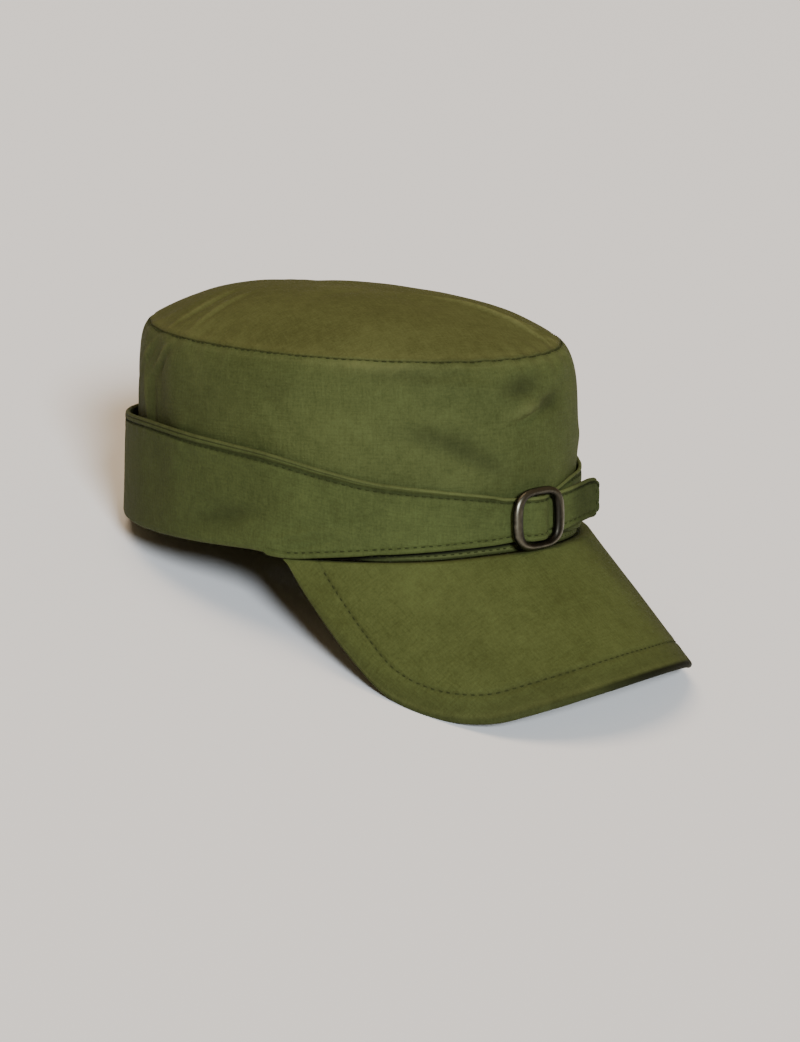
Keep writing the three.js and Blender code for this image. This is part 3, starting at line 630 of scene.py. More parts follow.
def flap_stations():
    """Rows along the band: x, y of its middle, top, bottom, thickness, fold, lean, angle.

    It runs from the right strap's free end round the back to the left strap and its loop on the bar.
    """
    rows = []
    for x, y, top, bottom in RIGHT_STRAP:
        rows.append((x, y + STRAP_CLOTH / 2, top, bottom, STRAP_CLOTH, 0, 0, 0))
    degrees = np.concatenate([np.arange(16, 180, 3), [180], np.arange(177, 23, -3)])
    hand = np.concatenate([np.full(56, -1), np.ones(len(degrees) - 56)])
    angle = np.radians(np.where(hand < 0, -degrees, degrees))
    fit = read_table(BAND_FIT[:, 0], BAND_FIT[:, 1:], degrees)
    edges = read_table(FLAP_EDGES[:, 0], FLAP_EDGES[:, 1:], degrees)
    thickness = STRAP_CLOTH + (FLAP_CLOTH - STRAP_CLOTH) * ease(degrees, 16, 50)
    x, y = oval(angle, CROWN_LENGTH, CROWN_WIDTH)
    out_x, out_y = oval_outward(angle)
    away = (np.degrees(angle) - STRAP_PULL[0]) * np.radians(MEAN_RADIUS) / STRAP_PULL[1]
    outer = fit[:, 0] - STRAP_PULL[2] * np.exp(-away * away)
    stand = outer - thickness / 2
    fold = (outer - thickness - (fit[:, 2] - CLOTH)) * ease(degrees, *FOLD_ENDS)
    top = np.where(hand < 0, edges[:, 0], edges[:, 2])
    bottom = np.where(hand < 0, edges[:, 1], edges[:, 3])
    turned = np.where(hand < 0, -degrees, degrees - 360)
    wall = np.stack(
        [x + out_x * stand, y + out_y * stand, top, bottom, thickness, fold, fit[:, 1], turned], -1
    )
    rows.extend(wall.tolist())
    for x, y, top, bottom in LEFT_STRAP:
        rows.append((x, y, top, bottom, LOOP_CLOTH, 0, 0, -360))
    bar_y = BUCKLE_Y + BAR_BACK
    radius = BAR_DEPTH / 2 + CLEARANCE + LOOP_CLOTH / 2
    turn_x = BUCKLE_X - BAR_WIDTH / 2 + BAR_DEPTH / 2
    loop = [(LOOP_START, bar_y + radius)]
    for turn in np.linspace(0, np.pi, 9):
        loop.append((turn_x - radius * np.sin(turn), bar_y + radius * np.cos(turn)))
    loop.append((LOOP_END, bar_y - radius + CLEARANCE / 2))
    for x, y in loop:
        rows.append((x, y, LOOP_TOP, LOOP_BOTTOM, LOOP_CLOTH, 0, 0, -360))
    return np.array(rows)


STATIONS = flap_stations()
STATION_RUN = lengths_along(STATIONS[:, :2])
BAND_LENGTH = STATION_RUN[-1]
WALL_RUN_START = STATION_RUN[len(RIGHT_STRAP)]
WALL_RUN_END = (BAND_LENGTH - 60, BAND_LENGTH - 40)


def band_at(run):
    """The band's row at a distance along it, and the level direction out of its face.

    Over the last millimetres of the free end the edges draw in on a quarter circle.
    """
    row = read_table(STATION_RUN, STATIONS, run)
    left = np.clip(TAB_CORNER - np.asarray(run, float), 0, TAB_CORNER)
    draw_in = TAB_CORNER - np.sqrt(TAB_CORNER**2 - left**2 + 1e-9)
    row[..., 2] -= draw_in
    row[..., 3] += draw_in
    step = 0.4
    ahead = read_table(STATION_RUN, STATIONS[:, :2], np.minimum(run + step, BAND_LENGTH))
    behind = read_table(STATION_RUN, STATIONS[:, :2], np.maximum(run - step, 0))
    going = unit(ahead - behind)
    outward = np.stack([-going[..., 1], going[..., 0]], -1)
    return row, outward


def face_length(row):
    """How far the flap's face runs from its upper edge, down, round the fold and under it."""
    top, bottom, thick, fold = row[..., 2], row[..., 3], row[..., 4], row[..., 5]
    f = np.clip(fold, 0, 1)
    down = top - bottom - thick / 2 - (1 - f) * thick / 2 - f * FOLD_ROUND[1]
    under = f * np.maximum(thick + fold - FOLD_ROUND[0], 0.2)
    return down, f * FOLD_LENGTH, under


def flap_base(run, drop):
    """Point and outward direction of the flap's face: straight down, round an oval fold, then under.

    drop is the distance down the face from where the rounding of its upper edge ends.
    """
    row, outward = band_at(run)
    x, y, top, bottom, thick, fold, lean, degrees = np.moveaxis(row, -1, 0)
    f = np.clip(fold, 0, 1)
    down, round_length, _ = face_length(row)
    q = np.clip((drop - down) / np.maximum(round_length, 1e-6), 0, 1) * (round_length > 0)
    rest = np.maximum(drop - down - round_length, 0)
    turn = q * np.pi / 2
    height = top - thick / 2 - np.minimum(drop, down) - f * FOLD_ROUND[1] * np.sin(turn)
    offset = thick / 2 - f * FOLD_ROUND[0] * (1 - np.cos(turn)) - rest
    rise = np.maximum(height - bottom, 0)
    sink = wall_sink(np.radians(degrees), height, FLAP_FOLDS) * ease(rise, 0, 8)
    offset = offset - lean * rise / (top - bottom) - sink
    out_x, out_y = outward[..., 0], outward[..., 1]
    level = np.cos(f * turn)
    direction = grid(out_x * level, out_y * level, -np.sin(f * turn))
    return grid(x + out_x * offset, y + out_y * offset, height), direction


def station_angle(run):
    """Degrees away from the front at a distance along the band."""
    angle = np.abs(np.interp(run, STATION_RUN, STATIONS[:, 7]))
    return np.minimum(angle, np.abs(360 - angle))


def hem_shape(run):
    """Distance of the upper hem's channel from the edge, the channel's half width, and its depth."""
    hem = read_table(HEM[:, 0], HEM[:, 1:], station_angle(run))
    return hem[..., 0], hem[..., 1], hem[..., 2]


def upper_hem(distance, run):
    """Section of the doubled upper edge.

    A lip, a hairline where the two layers meet, a raised strip, the channel that the stitches pull in,
    and the flap's cloth bulging out again below it.
    """
    place, half, depth = hem_shape(run)
    strip = ease(distance, 0.1, 0.8) * (1 - ease(distance, place - 1.6 * half, place - 0.4 * half))
    hairline = bell(distance, HAIRLINE, 0.24) * ease(station_angle(run), *HEM_PARTS)
    off = (distance - place) / half
    channel = depth * np.exp(-off * off * np.where(off > 0, 1.6, 0.8))
    below = bell(distance, place + half + 1.6, 1.5)
    return 0.3 * strip - 0.45 * hairline - channel + 0.2 * below


def welt(distance, width):
    """Section of a stitched edge: a rolled hem, then the groove that the stitches pull in."""
    roll = ease(distance, 0.2, 0.9) * (1 - ease(distance, width - 0.8, width - 0.1))
    return 0.25 * roll - 0.42 * bell(distance, width, 0.5) + 0.1 * bell(distance, width + 1.9, 1.1)


def flap_relief(run, drop):
    """Hems, stitch grooves, small creases and puckers of the flap's face."""
    row, _ = band_at(run)
    thick, fold = row[..., 4], row[..., 5]
    edge = drop + thick / 2
    lower = sum(face_length(row)) - drop + thick / 2 + 60 * np.clip(fold, 0, 1)
    end = run + 0.6 + 60 * (run > 45)
    relief = upper_hem(edge, run) + welt(lower, EDGE_STITCH) * (lower < 6)
    near_end = 1 - ease(end, 3.4, 4.4)
    relief = relief * (1 - near_end) + np.minimum(relief, welt(end, 2.1)) * near_end
    crease = wall_sink(np.radians(row[..., 7]), row[..., 2] - drop, flap_creases)
    pucker = 0.12 * np.sin(run / 1.7 + 2 * np.sin(run / 13)) * bell(edge, hem_shape(run)[0] + 1, 3)
    on_wall = ease(run, WALL_RUN_START - 6, WALL_RUN_START + 10) * (1 - ease(run, *WALL_RUN_END))
    return relief - crease * ease(edge, 3, 8) * on_wall + pucker


# Mesh making


def cloth_loops(face, back, tangent_from, steps=EDGE_STEPS):
    """Closed sections of a cloth: its face, a half round over one edge, its back, and a half round.

    face and back are grids of sections by points, and the back keeps every third point. A half round
    swings from face to back about the middle of the cloth, towards where the face was heading.
    """

    def half_round(end, inner):
        """From face to back: half the gap between them times cos, and the way ahead times sin."""
        half = (face[:, end] - back[:, end]) / 2
        middle = (face[:, end] + back[:, end]) / 2
        going = unit(tangent_from[:, end] - tangent_from[:, inner])
        radius = np.linalg.norm(half, axis=-1, keepdims=True)
        turn = (np.pi * np.arange(1, steps + 1) / (steps + 1))[None, :, None]
        return middle[:, None] + half[:, None] * np.cos(turn) + (going * radius)[:, None] * np.sin(turn)

    count = face.shape[1]
    behind = np.unique(np.append(np.arange(0, count, 3), count - 1))[::-1]
    loops = [face, half_round(-1, -2), back[:, behind], half_round(0, 1)[:, ::-1]]
    return np.concatenate(loops, axis=1), behind


def loop_values(values, behind, steps=EDGE_STEPS):
    """The same order as cloth_loops for a value kept at each point of the face."""
    last = np.repeat(values[:, -1:], steps, axis=1)
    first = np.repeat(values[:, :1], steps, axis=1)
    return np.concatenate([values, last, values[:, behind], first], axis=1)


def grid_faces(sections, points, ring, closed=True):
    """Quads between neighbouring sections, each section a closed loop of points or an open row."""
    i = np.arange(sections if ring else sections - 1)[:, None]
    j = np.arange(points if closed else points - 1)[None, :]
    ahead, beside = (i + 1) % sections, (j + 1) % points
    corners = grid(i * points + j, ahead * points + j, ahead * points + beside, i * points + beside)
    return corners.reshape(-1, 4)


def grid_uv(uv, ring, period, closed=True):
    """Corner coordinates for grid_faces, running on past the place where a ring closes."""
    if ring:
        uv = np.concatenate([uv, uv[:1] + np.array([period, 0])], axis=0)
    near, far = uv[:-1], uv[1:]
    corners = np.stack([near, far, np.roll(far, -1, axis=1), np.roll(near, -1, axis=1)], axis=2)
    if not closed:
        corners = corners[:, :-1]
    return corners.reshape(-1, 2)


def end_caps(sections, count, first=0):
    """A tube's first and last sections as faces that close its ends."""
    low = [first + k for k in range(count)]
    high = [k + (sections - 1) * count for k in low]
    return low, high[::-1]


def signed_volume(points, faces):
    """Six times the volume inside quads: the sum of their triangles' triple products."""
    a, b, c, d = (points[faces[:, k]] for k in range(4))
    return float((a * np.cross(b, c)).sum() + (a * np.cross(c, d)).sum())


def new_object(name, data):
    """Puts a mesh, lamp or camera into the scene."""
    thing = bpy.data.objects.new(name, data)
    bpy.context.scene.collection.objects.link(thing)
    return thing


def new_piece(name, points, faces, uv, values, material, node, caps=()):
    """Puts points, quads and end caps into a mesh whose faces point out, and gives it to the frame."""
    points = placed(points.reshape(-1, 3))
    turned = signed_volume(points, faces) < 0
    if turned:
        faces = faces[:, ::-1]
        uv = uv.reshape(-1, 4, 2)[:, ::-1].reshape(-1, 2)
    every = faces.tolist() + [cap[::-1] if turned else cap for cap in caps]
    mesh = bpy.data.meshes.new(name)
    mesh.from_pydata(points.tolist(), [], every)
    layer = mesh.uv_layers.new(name="cloth")
    corner_uv = np.zeros((len(mesh.loops), 2))
    corner_uv[: len(uv)] = uv * MM
    layer.data.foreach_set("uv", corner_uv.ravel())
    for key, value in values.items():
        attribute = mesh.attributes.new(key, "FLOAT", "POINT")
        attribute.data.foreach_set("value", np.ascontiguousarray(value, np.float32).ravel())
    mesh.polygons.foreach_set("use_smooth", np.ones(len(mesh.polygons), bool))
    mesh.materials.append(material)
    mesh.validate()
    piece = new_object(name, mesh)
    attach(piece, "root")
    if node:
        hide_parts(node)


def cloth_piece(name, loops, uv, values, material, node, ring=False, period=0):
    """A piece from closed sections: quads between them, and a cap at each end unless they form a ring."""
    sections, count = loops.shape[:2]
    faces = grid_faces(sections, count, ring)
    caps = () if ring else end_caps(sections, count)
    new_piece(name, loops, faces, grid_uv(uv, ring, period), values, material, node, caps)


def stitch_row(points, outward, seed):
    """A row of stitches along a line on a surface: bent capsules that dip into the cloth at both ends.

    Each is five rings of six points about the line, at its own shares of the stitch's length.
    """
    length = lengths_along(points)
    count = int(length[-1] / STITCH_PITCH)
    draw = np.random.default_rng(seed)
    centre = (np.arange(count) + 0.5) * length[-1] / count + draw.uniform(-0.12, 0.12, count)
    share = np.array([-0.5, -0.34, 0.0, 0.34, 0.5])
    lift = np.array([-0.34, 0.04, 0.16, 0.04, -0.34])
    girth = np.array([0.45, 0.9, 1.0, 0.9, 0.45]) * THREAD_RADIUS
    at = centre[:, None] + share * STITCH_LENGTH * draw.uniform(0.9, 1.06, (count, 1))
    normal = unit(on_line(outward, length, at))
    going = unit(on_line(points, length, at + 0.3) - on_line(points, length, at - 0.3))
    aside = unit(np.cross(going, normal))
    middle = on_line(points, length, at) + normal * lift[None, :, None]
    middle = middle + aside * (draw.uniform(-0.08, 0.08, (count, 1)) * share)[..., None]
    turn = np.arange(6) * np.pi / 3
    ring = normal[:, :, None] * np.cos(turn)[:, None] + aside[:, :, None] * np.sin(turn)[:, None]
    return middle[:, :, None] + ring * girth[None, :, None, None]


def stitches(name, rows):
    """Joins rows of stitches into one mesh: each one's sides, and two quads over each end."""
    all_rings = np.concatenate(rows, axis=0)
    count, rings, sides = all_rings.shape[:3]
    ends = np.array([[0, 1, 2, 3], [0, 3, 4, 5]])
    last = (rings - 1) * sides + ends[:, ::-1]
    one = np.concatenate([grid_faces(rings, sides, False), ends, last])
    first = (np.arange(count) * rings * sides)[:, None, None]
    faces = (one[None] + first).reshape(-1, 4)
    uv = np.zeros((len(faces) * 4, 2))
    new_piece(name, all_rings, faces, uv, {}, olive_thread, None)


# Materials


def linear(colour):
    """sRGB hex colour turned to linear red, green, blue and alpha."""
    parts = np.array([int(colour[k : k + 2], 16) for k in (1, 3, 5)]) / 255
    flat = np.where(parts <= 0.04045, parts / 12.92, ((parts + 0.055) / 1.055) ** 2.4)
    return (*flat.tolist(), 1.0)


def add(tree, kind, settings=None, out=0, **links):
    """Adds a node, sets its own settings and sockets, links its sockets, and gives one of its outputs.

    "in:" goes before a socket's name, "at:" before its number, and "stops" lists a ramp's colours.
    """
    node = tree.nodes.new(kind)
    for key, value in (settings or {}).items():
        if key == "stops":
            for place, colour in value[2:]:
                node.color_ramp.elements.new(place)
            for element, (place, colour) in zip(node.color_ramp.elements, value):
                element.position = place
                element.color = linear(colour)
        elif key.startswith("in:"):
            node.inputs[key[3:]].default_value = value
        elif key.startswith("at:"):
            node.inputs[int(key[3:])].default_value = value
        else:
            setattr(node, key, value)
    for key, source in links.items():
        socket = node.inputs[int(key[1:])] if key[1:].isdigit() else node.inputs[key.replace("_", " ")]
        tree.links.new(source, socket)
    return node.outputs[out] if node.outputs else None


def new_material(name):
    """Material with an empty node tree."""
    material = bpy.data.materials.new(name)
    material.use_nodes = True
    material.node_tree.nodes.clear()
    return material, material.node_tree


def band_scale(spacing_mm):
    """Scale that gives a wave texture bands this far apart: they repeat every 2 pi / (20 scale)."""
    return 2 * np.pi / (20 * spacing_mm * MM)


def waxed_cotton(name, light, dark, worn, turn=0):
    """Close-woven olive cotton, piece-dyed and faintly waxed: matt, with a soft sheen at a slant.

    The real threads lie 0.35 mm apart, too fine to show, so the weave is drawn 0.9 mm apart and uneven.
    """
    material, tree = new_material(name)
    body = add(tree, "ShaderNodeTexCoord", out="Object")
    woven = add(tree, "ShaderNodeUVMap", {"uv_map": "cloth"})
    woven = add(tree, "ShaderNodeMapping", {"in:Rotation": (0, 0, np.radians(turn))}, Vector=woven)

    # threads: noise drawn out 7 mm along and 0.9 mm across, once for each way of the weave
    thread = []
    for scale in ((140, 1100, 1), (1100, 140, 1)):
        drawn = add(tree, "ShaderNodeMapping", {"in:Scale": scale}, Vector=woven)
        settings = {"in:Scale": 1.0, "in:Detail": 2.0, "in:Roughness": 0.6}
        thread.append(add(tree, "ShaderNodeTexNoise", settings, Vector=drawn))
    threads = add(tree, "ShaderNodeMath", {"operation": "ADD"}, i0=thread[0], i1=thread[1])

    # grain of single thread crossings, 1 mm; mottling of dye and wax, 4 mm and 35 mm
    noises = []
    for scale, detail, rough in ((1000.0, 2.0, 0.7), (240.0, 4.0, 0.5), (28.0, 3.0, 0.55)):
        settings = {"in:Scale": scale, "in:Detail": detail, "in:Roughness": rough}
        noises.append(add(tree, "ShaderNodeTexNoise", settings, Vector=body))
    grain, fine, broad = noises
    tone = broad
    for share, layer in ((0.5, fine), (0.8, grain), (0.45, threads)):
        settings = {"operation": "MULTIPLY_ADD", "at:1": share}
        tone = add(tree, "ShaderNodeMath", settings, i0=layer, i2=tone)
    settings = {"in:From Min": 1.25, "in:From Max": 1.95}
    tone = add(tree, "ShaderNodeMapRange", settings, Value=tone)
    colour = add(tree, "ShaderNodeValToRGB", {"stops": [(0.0, dark), (1.0, light)]}, Fac=tone)

    # edges rubbed paler, and painted shade in seams, grooves, hollows and on sides turned from the light,
    # kept at the mesh's points
    rub = add(tree, "ShaderNodeAttribute", {"attribute_name": "rubbed"}, out="Fac")
    patchy = add(tree, "ShaderNodeMath", {"operation": "MULTIPLY"}, i0=rub, i1=fine)
    shade_amount = add(tree, "ShaderNodeAttribute", {"attribute_name": "soiled"}, out="Fac")
    for amount, shade in ((patchy, worn), (shade_amount, PAINTED_SHADE_COLOUR)):
        settings = {"data_type": "RGBA", "at:7": linear(shade)}
        colour = add(tree, "ShaderNodeMix", settings, out=2, i0=amount, i6=colour)

    height = threads
    for share, layer in ((0.8, grain), (1.2, fine)):
        settings = {"operation": "MULTIPLY_ADD", "at:1": share}
        height = add(tree, "ShaderNodeMath", settings, i0=layer, i2=height)
    bump = add(tree, "ShaderNodeBump", {"in:Strength": 0.7, "in:Distance": 0.0003}, Height=height)
    rough = add(tree, "ShaderNodeMapRange", {"in:To Min": 0.72, "in:To Max": 0.88}, Value=broad)
    settings = {
        "in:Specular IOR Level": 0.1,
        "in:Sheen Weight": 0.03,
        "in:Sheen Roughness": 0.5,
        "in:Sheen Tint": linear("#a8a06a"),
    }
    links = {"Base_Color": colour, "Roughness": rough, "Normal": bump}
    shader = add(tree, "ShaderNodeBsdfPrincipled", settings, **links)
    add(tree, "ShaderNodeOutputMaterial", Surface=shader)
    return material


def cotton_thread(name, colour, paler):
    """Two-ply sewing thread, dull with wear, dark olive, with a fine twist along it."""
    material, tree = new_material(name)
    body = add(tree, "ShaderNodeTexCoord", out="Object")
    fleck = add(tree, "ShaderNodeTexNoise", {"in:Scale": 900.0, "in:Detail": 2.0}, Vector=body)
    tinted = add(tree, "ShaderNodeValToRGB", {"stops": [(0.3, colour), (0.75, paler)]}, Fac=fleck)
    settings = {"bands_direction": "DIAGONAL", "in:Scale": band_scale(0.5)}
    twist = add(tree, "ShaderNodeTexWave", settings, out="Fac", Vector=body)
    bump = add(tree, "ShaderNodeBump", {"in:Strength": 0.6, "in:Distance": 0.0001}, Height=twist)
    settings = {"in:Roughness": 0.85, "in:Specular IOR Level": 0.12}
    shader = add(tree, "ShaderNodeBsdfPrincipled", settings, Base_Color=tinted, Normal=bump)
    add(tree, "ShaderNodeOutputMaterial", Surface=shader)
    return material


def antique_brass(name):
    """Cast brass, blackened and buffed: dark brown in the hollows, worn to warm metal on the crests."""
    material, tree = new_material(name)
    body = add(tree, "ShaderNodeTexCoord", out="Object")
    stain = add(tree, "ShaderNodeTexNoise", {"in:Scale": 260.0, "in:Detail": 5.0}, Vector=body)
    grain = add(tree, "ShaderNodeTexNoise", {"in:Scale": 2600.0, "in:Detail": 2.0}, Vector=body)
    rub = add(tree, "ShaderNodeAttribute", {"attribute_name": "rubbed"}, out="Fac")
    settings = {"operation": "MULTIPLY_ADD", "at:1": 0.6}
    amount = add(tree, "ShaderNodeMath", settings, i0=stain, i2=rub)
    settings = {"stops": [(0.35, "#1c1a17"), (0.7, "#34322b"), (1.0, "#6d6a5d")]}
    metal = add(tree, "ShaderNodeValToRGB", settings, Fac=amount)
    settings = {"in:From Min": 0.3, "in:From Max": 1.2, "in:To Min": 0.46, "in:To Max": 0.3}
    rough = add(tree, "ShaderNodeMapRange", settings, Value=amount)
    bump = add(tree, "ShaderNodeBump", {"in:Strength": 0.25, "in:Distance": 0.00006}, Height=grain)
    links = {"Base_Color": metal, "Roughness": rough, "Normal": bump}
    shader = add(tree, "ShaderNodeBsdfPrincipled", {"in:Metallic": 1.0}, **links)
    add(tree, "ShaderNodeOutputMaterial", Surface=shader)
    return material


# near-black olive that is mixed in as painted shade
PAINTED_SHADE_COLOUR = "#0c0d05"
side_cotton = waxed_cotton("waxed_cotton_crown_side", "#4c532e", "#383e1e", "#666940")
top_cotton = waxed_cotton("waxed_cotton_crown_top", "#4f522d", "#3d3f1e", "#69693f", 20)
peak_cotton = waxed_cotton("waxed_cotton_peak", "#4b522b", "#393e1c", "#65673d", 8)
flap_cotton = waxed_cotton("waxed_cotton_flap", "#49522c", "#363c1d", "#64683e")
olive_thread = cotton_thread("dull_cotton_thread", "#262a12", "#323719")
buckle_brass = antique_brass("antique_brass_buffed")


# Crown side


def make_crown_side():
    """The wall: sections round the cap, each going up its face, over the sewn edge and down inside.

    Every point is the wall's base moved outwards by the relief; rows lie closer together at both edges.
    Above the seam the cloth's allowance is turned in under the top panel, at the dome's height less a gap.
    """
    sections = 520
    angle = (np.arange(sections) / sections * 2 - 1)[:, None] * np.pi
    low = wall_bottom(angle) + CLOTH / 2
    high = seam_height(angle) - WALL_EDGE
    share = np.concatenate(
        [np.linspace(0, 0.06, 9), np.linspace(0.06, 0.9, 76)[1:], np.linspace(0.9, 1, 26)[1:]]
    )
    height = low + (high - low) * share
    allowance = dome_point(angle, 1 - np.array(TURNED_IN) / SEAM_WIDTH, CLOTH + CLEARANCE)
    base = np.concatenate([wall_base(angle, height), allowance], axis=1)
    upright = np.broadcast_to([0.0, 0.0, 1.0], allowance.shape)
    outward = np.concatenate([wall_outward(angle, height), upright], axis=1)
    under = np.zeros(allowance.shape[:2])
    relief = np.concatenate([wall_relief(angle, height), under], axis=1)
    loops, behind = cloth_loops(base + outward * relief[..., None], base - outward * CLOTH, base)
    drop = seam_height(angle) - height
    above_peak = height - low
    rubbed = 0.2 * bell(drop, 2.0, 1.0) + 0.5 * bell(above_peak, 0.9, 0.5)
    rubbed = rubbed - 0.7 * wall_sink(angle, height, side_ridges)
    # painted shade: in the seam's ditch, at the wall's foot where it meets the peak, in the hollow under
    # the strap's lower edge, over folds and on the flank turned from the light; the allowance turned in
    # under the top panel gets 0.6 of it
    soiled = SEAM_PAINTED_SHADE * seam_openness(angle) * bell(drop, 0, 0.9) + 0.35 * bell(above_peak, 0, 0.4)
    soiled = soiled + strap_hollow(angle, height) + wall_sink(angle, height, SIDE_PAINTED_SHADE)
    values = {}
    for key, share, end in (("rubbed", rubbed, 0), ("soiled", soiled, 0.6)):
        share = np.concatenate([np.clip(share, 0, 1), under + end], axis=1)
        values[key] = loop_values(share, behind)
    along = np.concatenate([height, high + np.array(TURNED_IN)], axis=1)
    uv = loop_values(grid(angle * MEAN_RADIUS, along), behind)
    cloth_piece(
        "crown_side_cloth", loops, uv, values, side_cotton, "crown_side", True, ROUND_LENGTH
    )


# Crown top


def top_face(angle, share):
    """Point, outward direction and relief of the top panel, from its middle to the seam."""
    base = dome_point(angle, share)
    step = 0.004
    outer = dome_point(angle, share + step) - dome_point(angle, share - step)
    aside = dome_point(angle + step, share) - dome_point(angle - step, share)
    outward = unit(np.cross(outer, aside))
    outward = outward * np.sign(outward[..., 2:])
    x, y = base[..., 0], base[..., 1]
    edge = (1 - share) * np.hypot(x, y) / np.maximum(share, 1e-3)
    crease = fold_sink(x, y, top_creases) * ease(edge, 0.5, 7)
    ditch = 0.5 * SEAM_DITCH * seam_openness(angle) * np.exp(-edge / 0.7)
    return base, outward, puckers(angle * MEAN_RADIUS + 1.5, edge) - ditch - crease


def make_crown_top():
    """Rings of points from the pole out over the face, round the sewn edge, and back underneath."""
    sections = 480
    angle = (np.arange(sections) / sections * 2 - 1)[:, None] * np.pi
    rim = 1 - (CLEARANCE + 0.5) / SEAM_WIDTH
    share = np.concatenate([np.linspace(0.012, 0.9, 70), np.linspace(0.9, rim, 34)[1:]])[None, :]
    base, outward, relief = top_face(angle, share)
    face = base + outward * relief[..., None]
    loops, behind = cloth_loops(face, base - outward * CLOTH, base)
    open_end = face.shape[1] + EDGE_STEPS + len(behind)

    def follow(values):
        """The face's values, carried on round the edge and underneath."""
        return loop_values(values, behind)[:, :open_end]

    x, y = base[..., 0], base[..., 1]
    edge = (1 - share) * SEAM_WIDTH
    rubbed = np.clip(0.15 * bell(edge, 2.2, 1.2) - 0.55 * fold_sink(x, y, top_ridges), 0, 1)
    # painted shade along the seam's ditch
    soiled = SEAM_PAINTED_SHADE * seam_openness(angle) * bell(edge, 0.6, 0.7)
    values = {"rubbed": follow(rubbed), "soiled": follow(soiled)}
    faces = grid_faces(sections, open_end, True, closed=False)
    corner_uv = grid_uv(follow(grid(x, y)), True, 0, closed=False)
    first = np.arange(sections) * open_end
    caps = (first[::-1].tolist(), (first + open_end - 1).tolist())
    new_piece(
        "crown_top_cloth",
        loops[:, :open_end],
        faces,
        corner_uv,
        values,
        top_cotton,
        "crown_top",
        caps,
    )


# Peak


def peak_stitch_line(count):
    """Flat points evenly spaced along the peak's inset outline, from its right side to its left."""
    right = peak_outline(PEAK_STITCH_INSET, -1)[::-1] * np.array([-1, 1])
    line = np.concatenate([right, peak_outline(PEAK_STITCH_INSET, 1)[1:]])
    return along_line(line, np.linspace(0, 1, count))


def peak_face(u, v):
    """Relief of the peak's upper face, and how far each point lies from the stitched line."""
    line = peak_stitch_line(400)
    away = np.full(np.shape(u), 1e9)
    for start in range(0, len(line), 40):
        part = line[start : start + 40]
        gap = np.hypot(u[..., None] - part[:, 0], v[..., None] - part[:, 1]).min(-1)
        away = np.minimum(away, gap)
    groove = 0.32 * bell(away, 0, 0.9) - 0.08 * bell(away, 2.6, 1.4)
    soft = fold_sink(u, v, ripples(21, 40, 200, (40, 150), (10, 24), 0.3))
    return -groove - soft, away


def make_peak():
    """Columns from the crown to the outline in straight shares, placed on the curved upper face.

    Each column goes out over the face, round the front edge, back underneath, and is tucked inside the
    crown's wall at its root.
    """
    columns = 260
    place = np.linspace(-1, 1, columns)
    side = np.where(place < 0, -1.0, 1.0)
    root_angle = np.abs(place) * PEAK_END_ANGLE
    root = grid(
        np.interp(root_angle, SPRING_ANGLE, SPRING_ACROSS),
        np.interp(root_angle, SPRING_ANGLE, SPRING_ALONG) + shoulder_along(root_angle),
    )
    share = np.abs(place) ** 1.15
    right = along_line(peak_outline(PEAK_THICKNESS / 2, -1), share)
    left = along_line(peak_outline(PEAK_THICKNESS / 2, 1), share)
    edge = np.where((side < 0)[:, None], right, left)
    row = np.linspace(0, 1, 84)[None, :, None]
    flat = root[:, None] + (edge - root)[:, None] * row
    u = flat[..., 0] * side[:, None]
    v = flat[..., 1]
    base = peak_point(u, v)
    outward = peak_outward(u, v)
    relief, away = peak_face(u, v)
    face = base + outward * relief[..., None]
    back = base - outward * PEAK_THICKNESS
    loops, behind = cloth_loops(face, back, base, steps=PEAK_EDGE_STEPS)
    tuck_x, tuck_y = oval(angle_of(base[:, 0]), CROWN_LENGTH - CLOTH, CROWN_WIDTH - CLOTH)
    tuck = grid(tuck_x, tuck_y, base[:, 0, 2])
    under = tuck - np.array([0, 0, CLOTH])
    keep = face.shape[1] + PEAK_EDGE_STEPS + len(behind)
    loops = np.concatenate([tuck[:, None], loops[:, :keep], under[:, None]], axis=1)

    def follow(values):
        """The face's values, carried on round the edge, underneath and into both tucked rows."""
        values = loop_values(values, behind, steps=PEAK_EDGE_STEPS)[:, :keep]
        return np.concatenate([values[:, :1], values, values[:, -1:]], axis=1)

    from_edge = np.broadcast_to((1 - row[..., 0]) * 60, u.shape)
    rubbed = 0.25 * bell(from_edge, 1.6, 1.0)
    # painted shade: in the stitched line's groove, on the strip outside it, on the turned edge, more
    # towards the wearer's left, and on the far side turned from the light
    soiled = 0.25 * bell(away, 0, 0.7) + 0.21 * (1 - ease(from_edge, 3, 15))
    soiled = soiled + (0.2 + 0.55 * ease(u, -50, 10)) * bell(from_edge, 0, 0.8)
    soiled = soiled + 0.35 * ease(base[..., 0], 22, 64)
    values = {"rubbed": follow(rubbed), "soiled": follow(soiled)}
    cloth_piece("peak_cloth", loops, follow(grid(u, v)), values, peak_cotton, "peak")


# Ear flap


def flap_drops(run):
    """Distances down the face, close together at both stitched edges."""
    row, _ = band_at(run)
    whole = sum(face_length(row))
    top_zone = np.linspace(0, 6.2, 38)
    end_zone = np.linspace(3.6, 0, 18)
    middle = np.linspace(0, 1, 26)[1:-1]
    scale = np.minimum(whole / 11.0, 1.0)
    between = 6.2 * scale + (whole - 9.8 * scale) * middle
    return np.concatenate([top_zone * scale, between, whole - end_zone * scale], axis=-1)


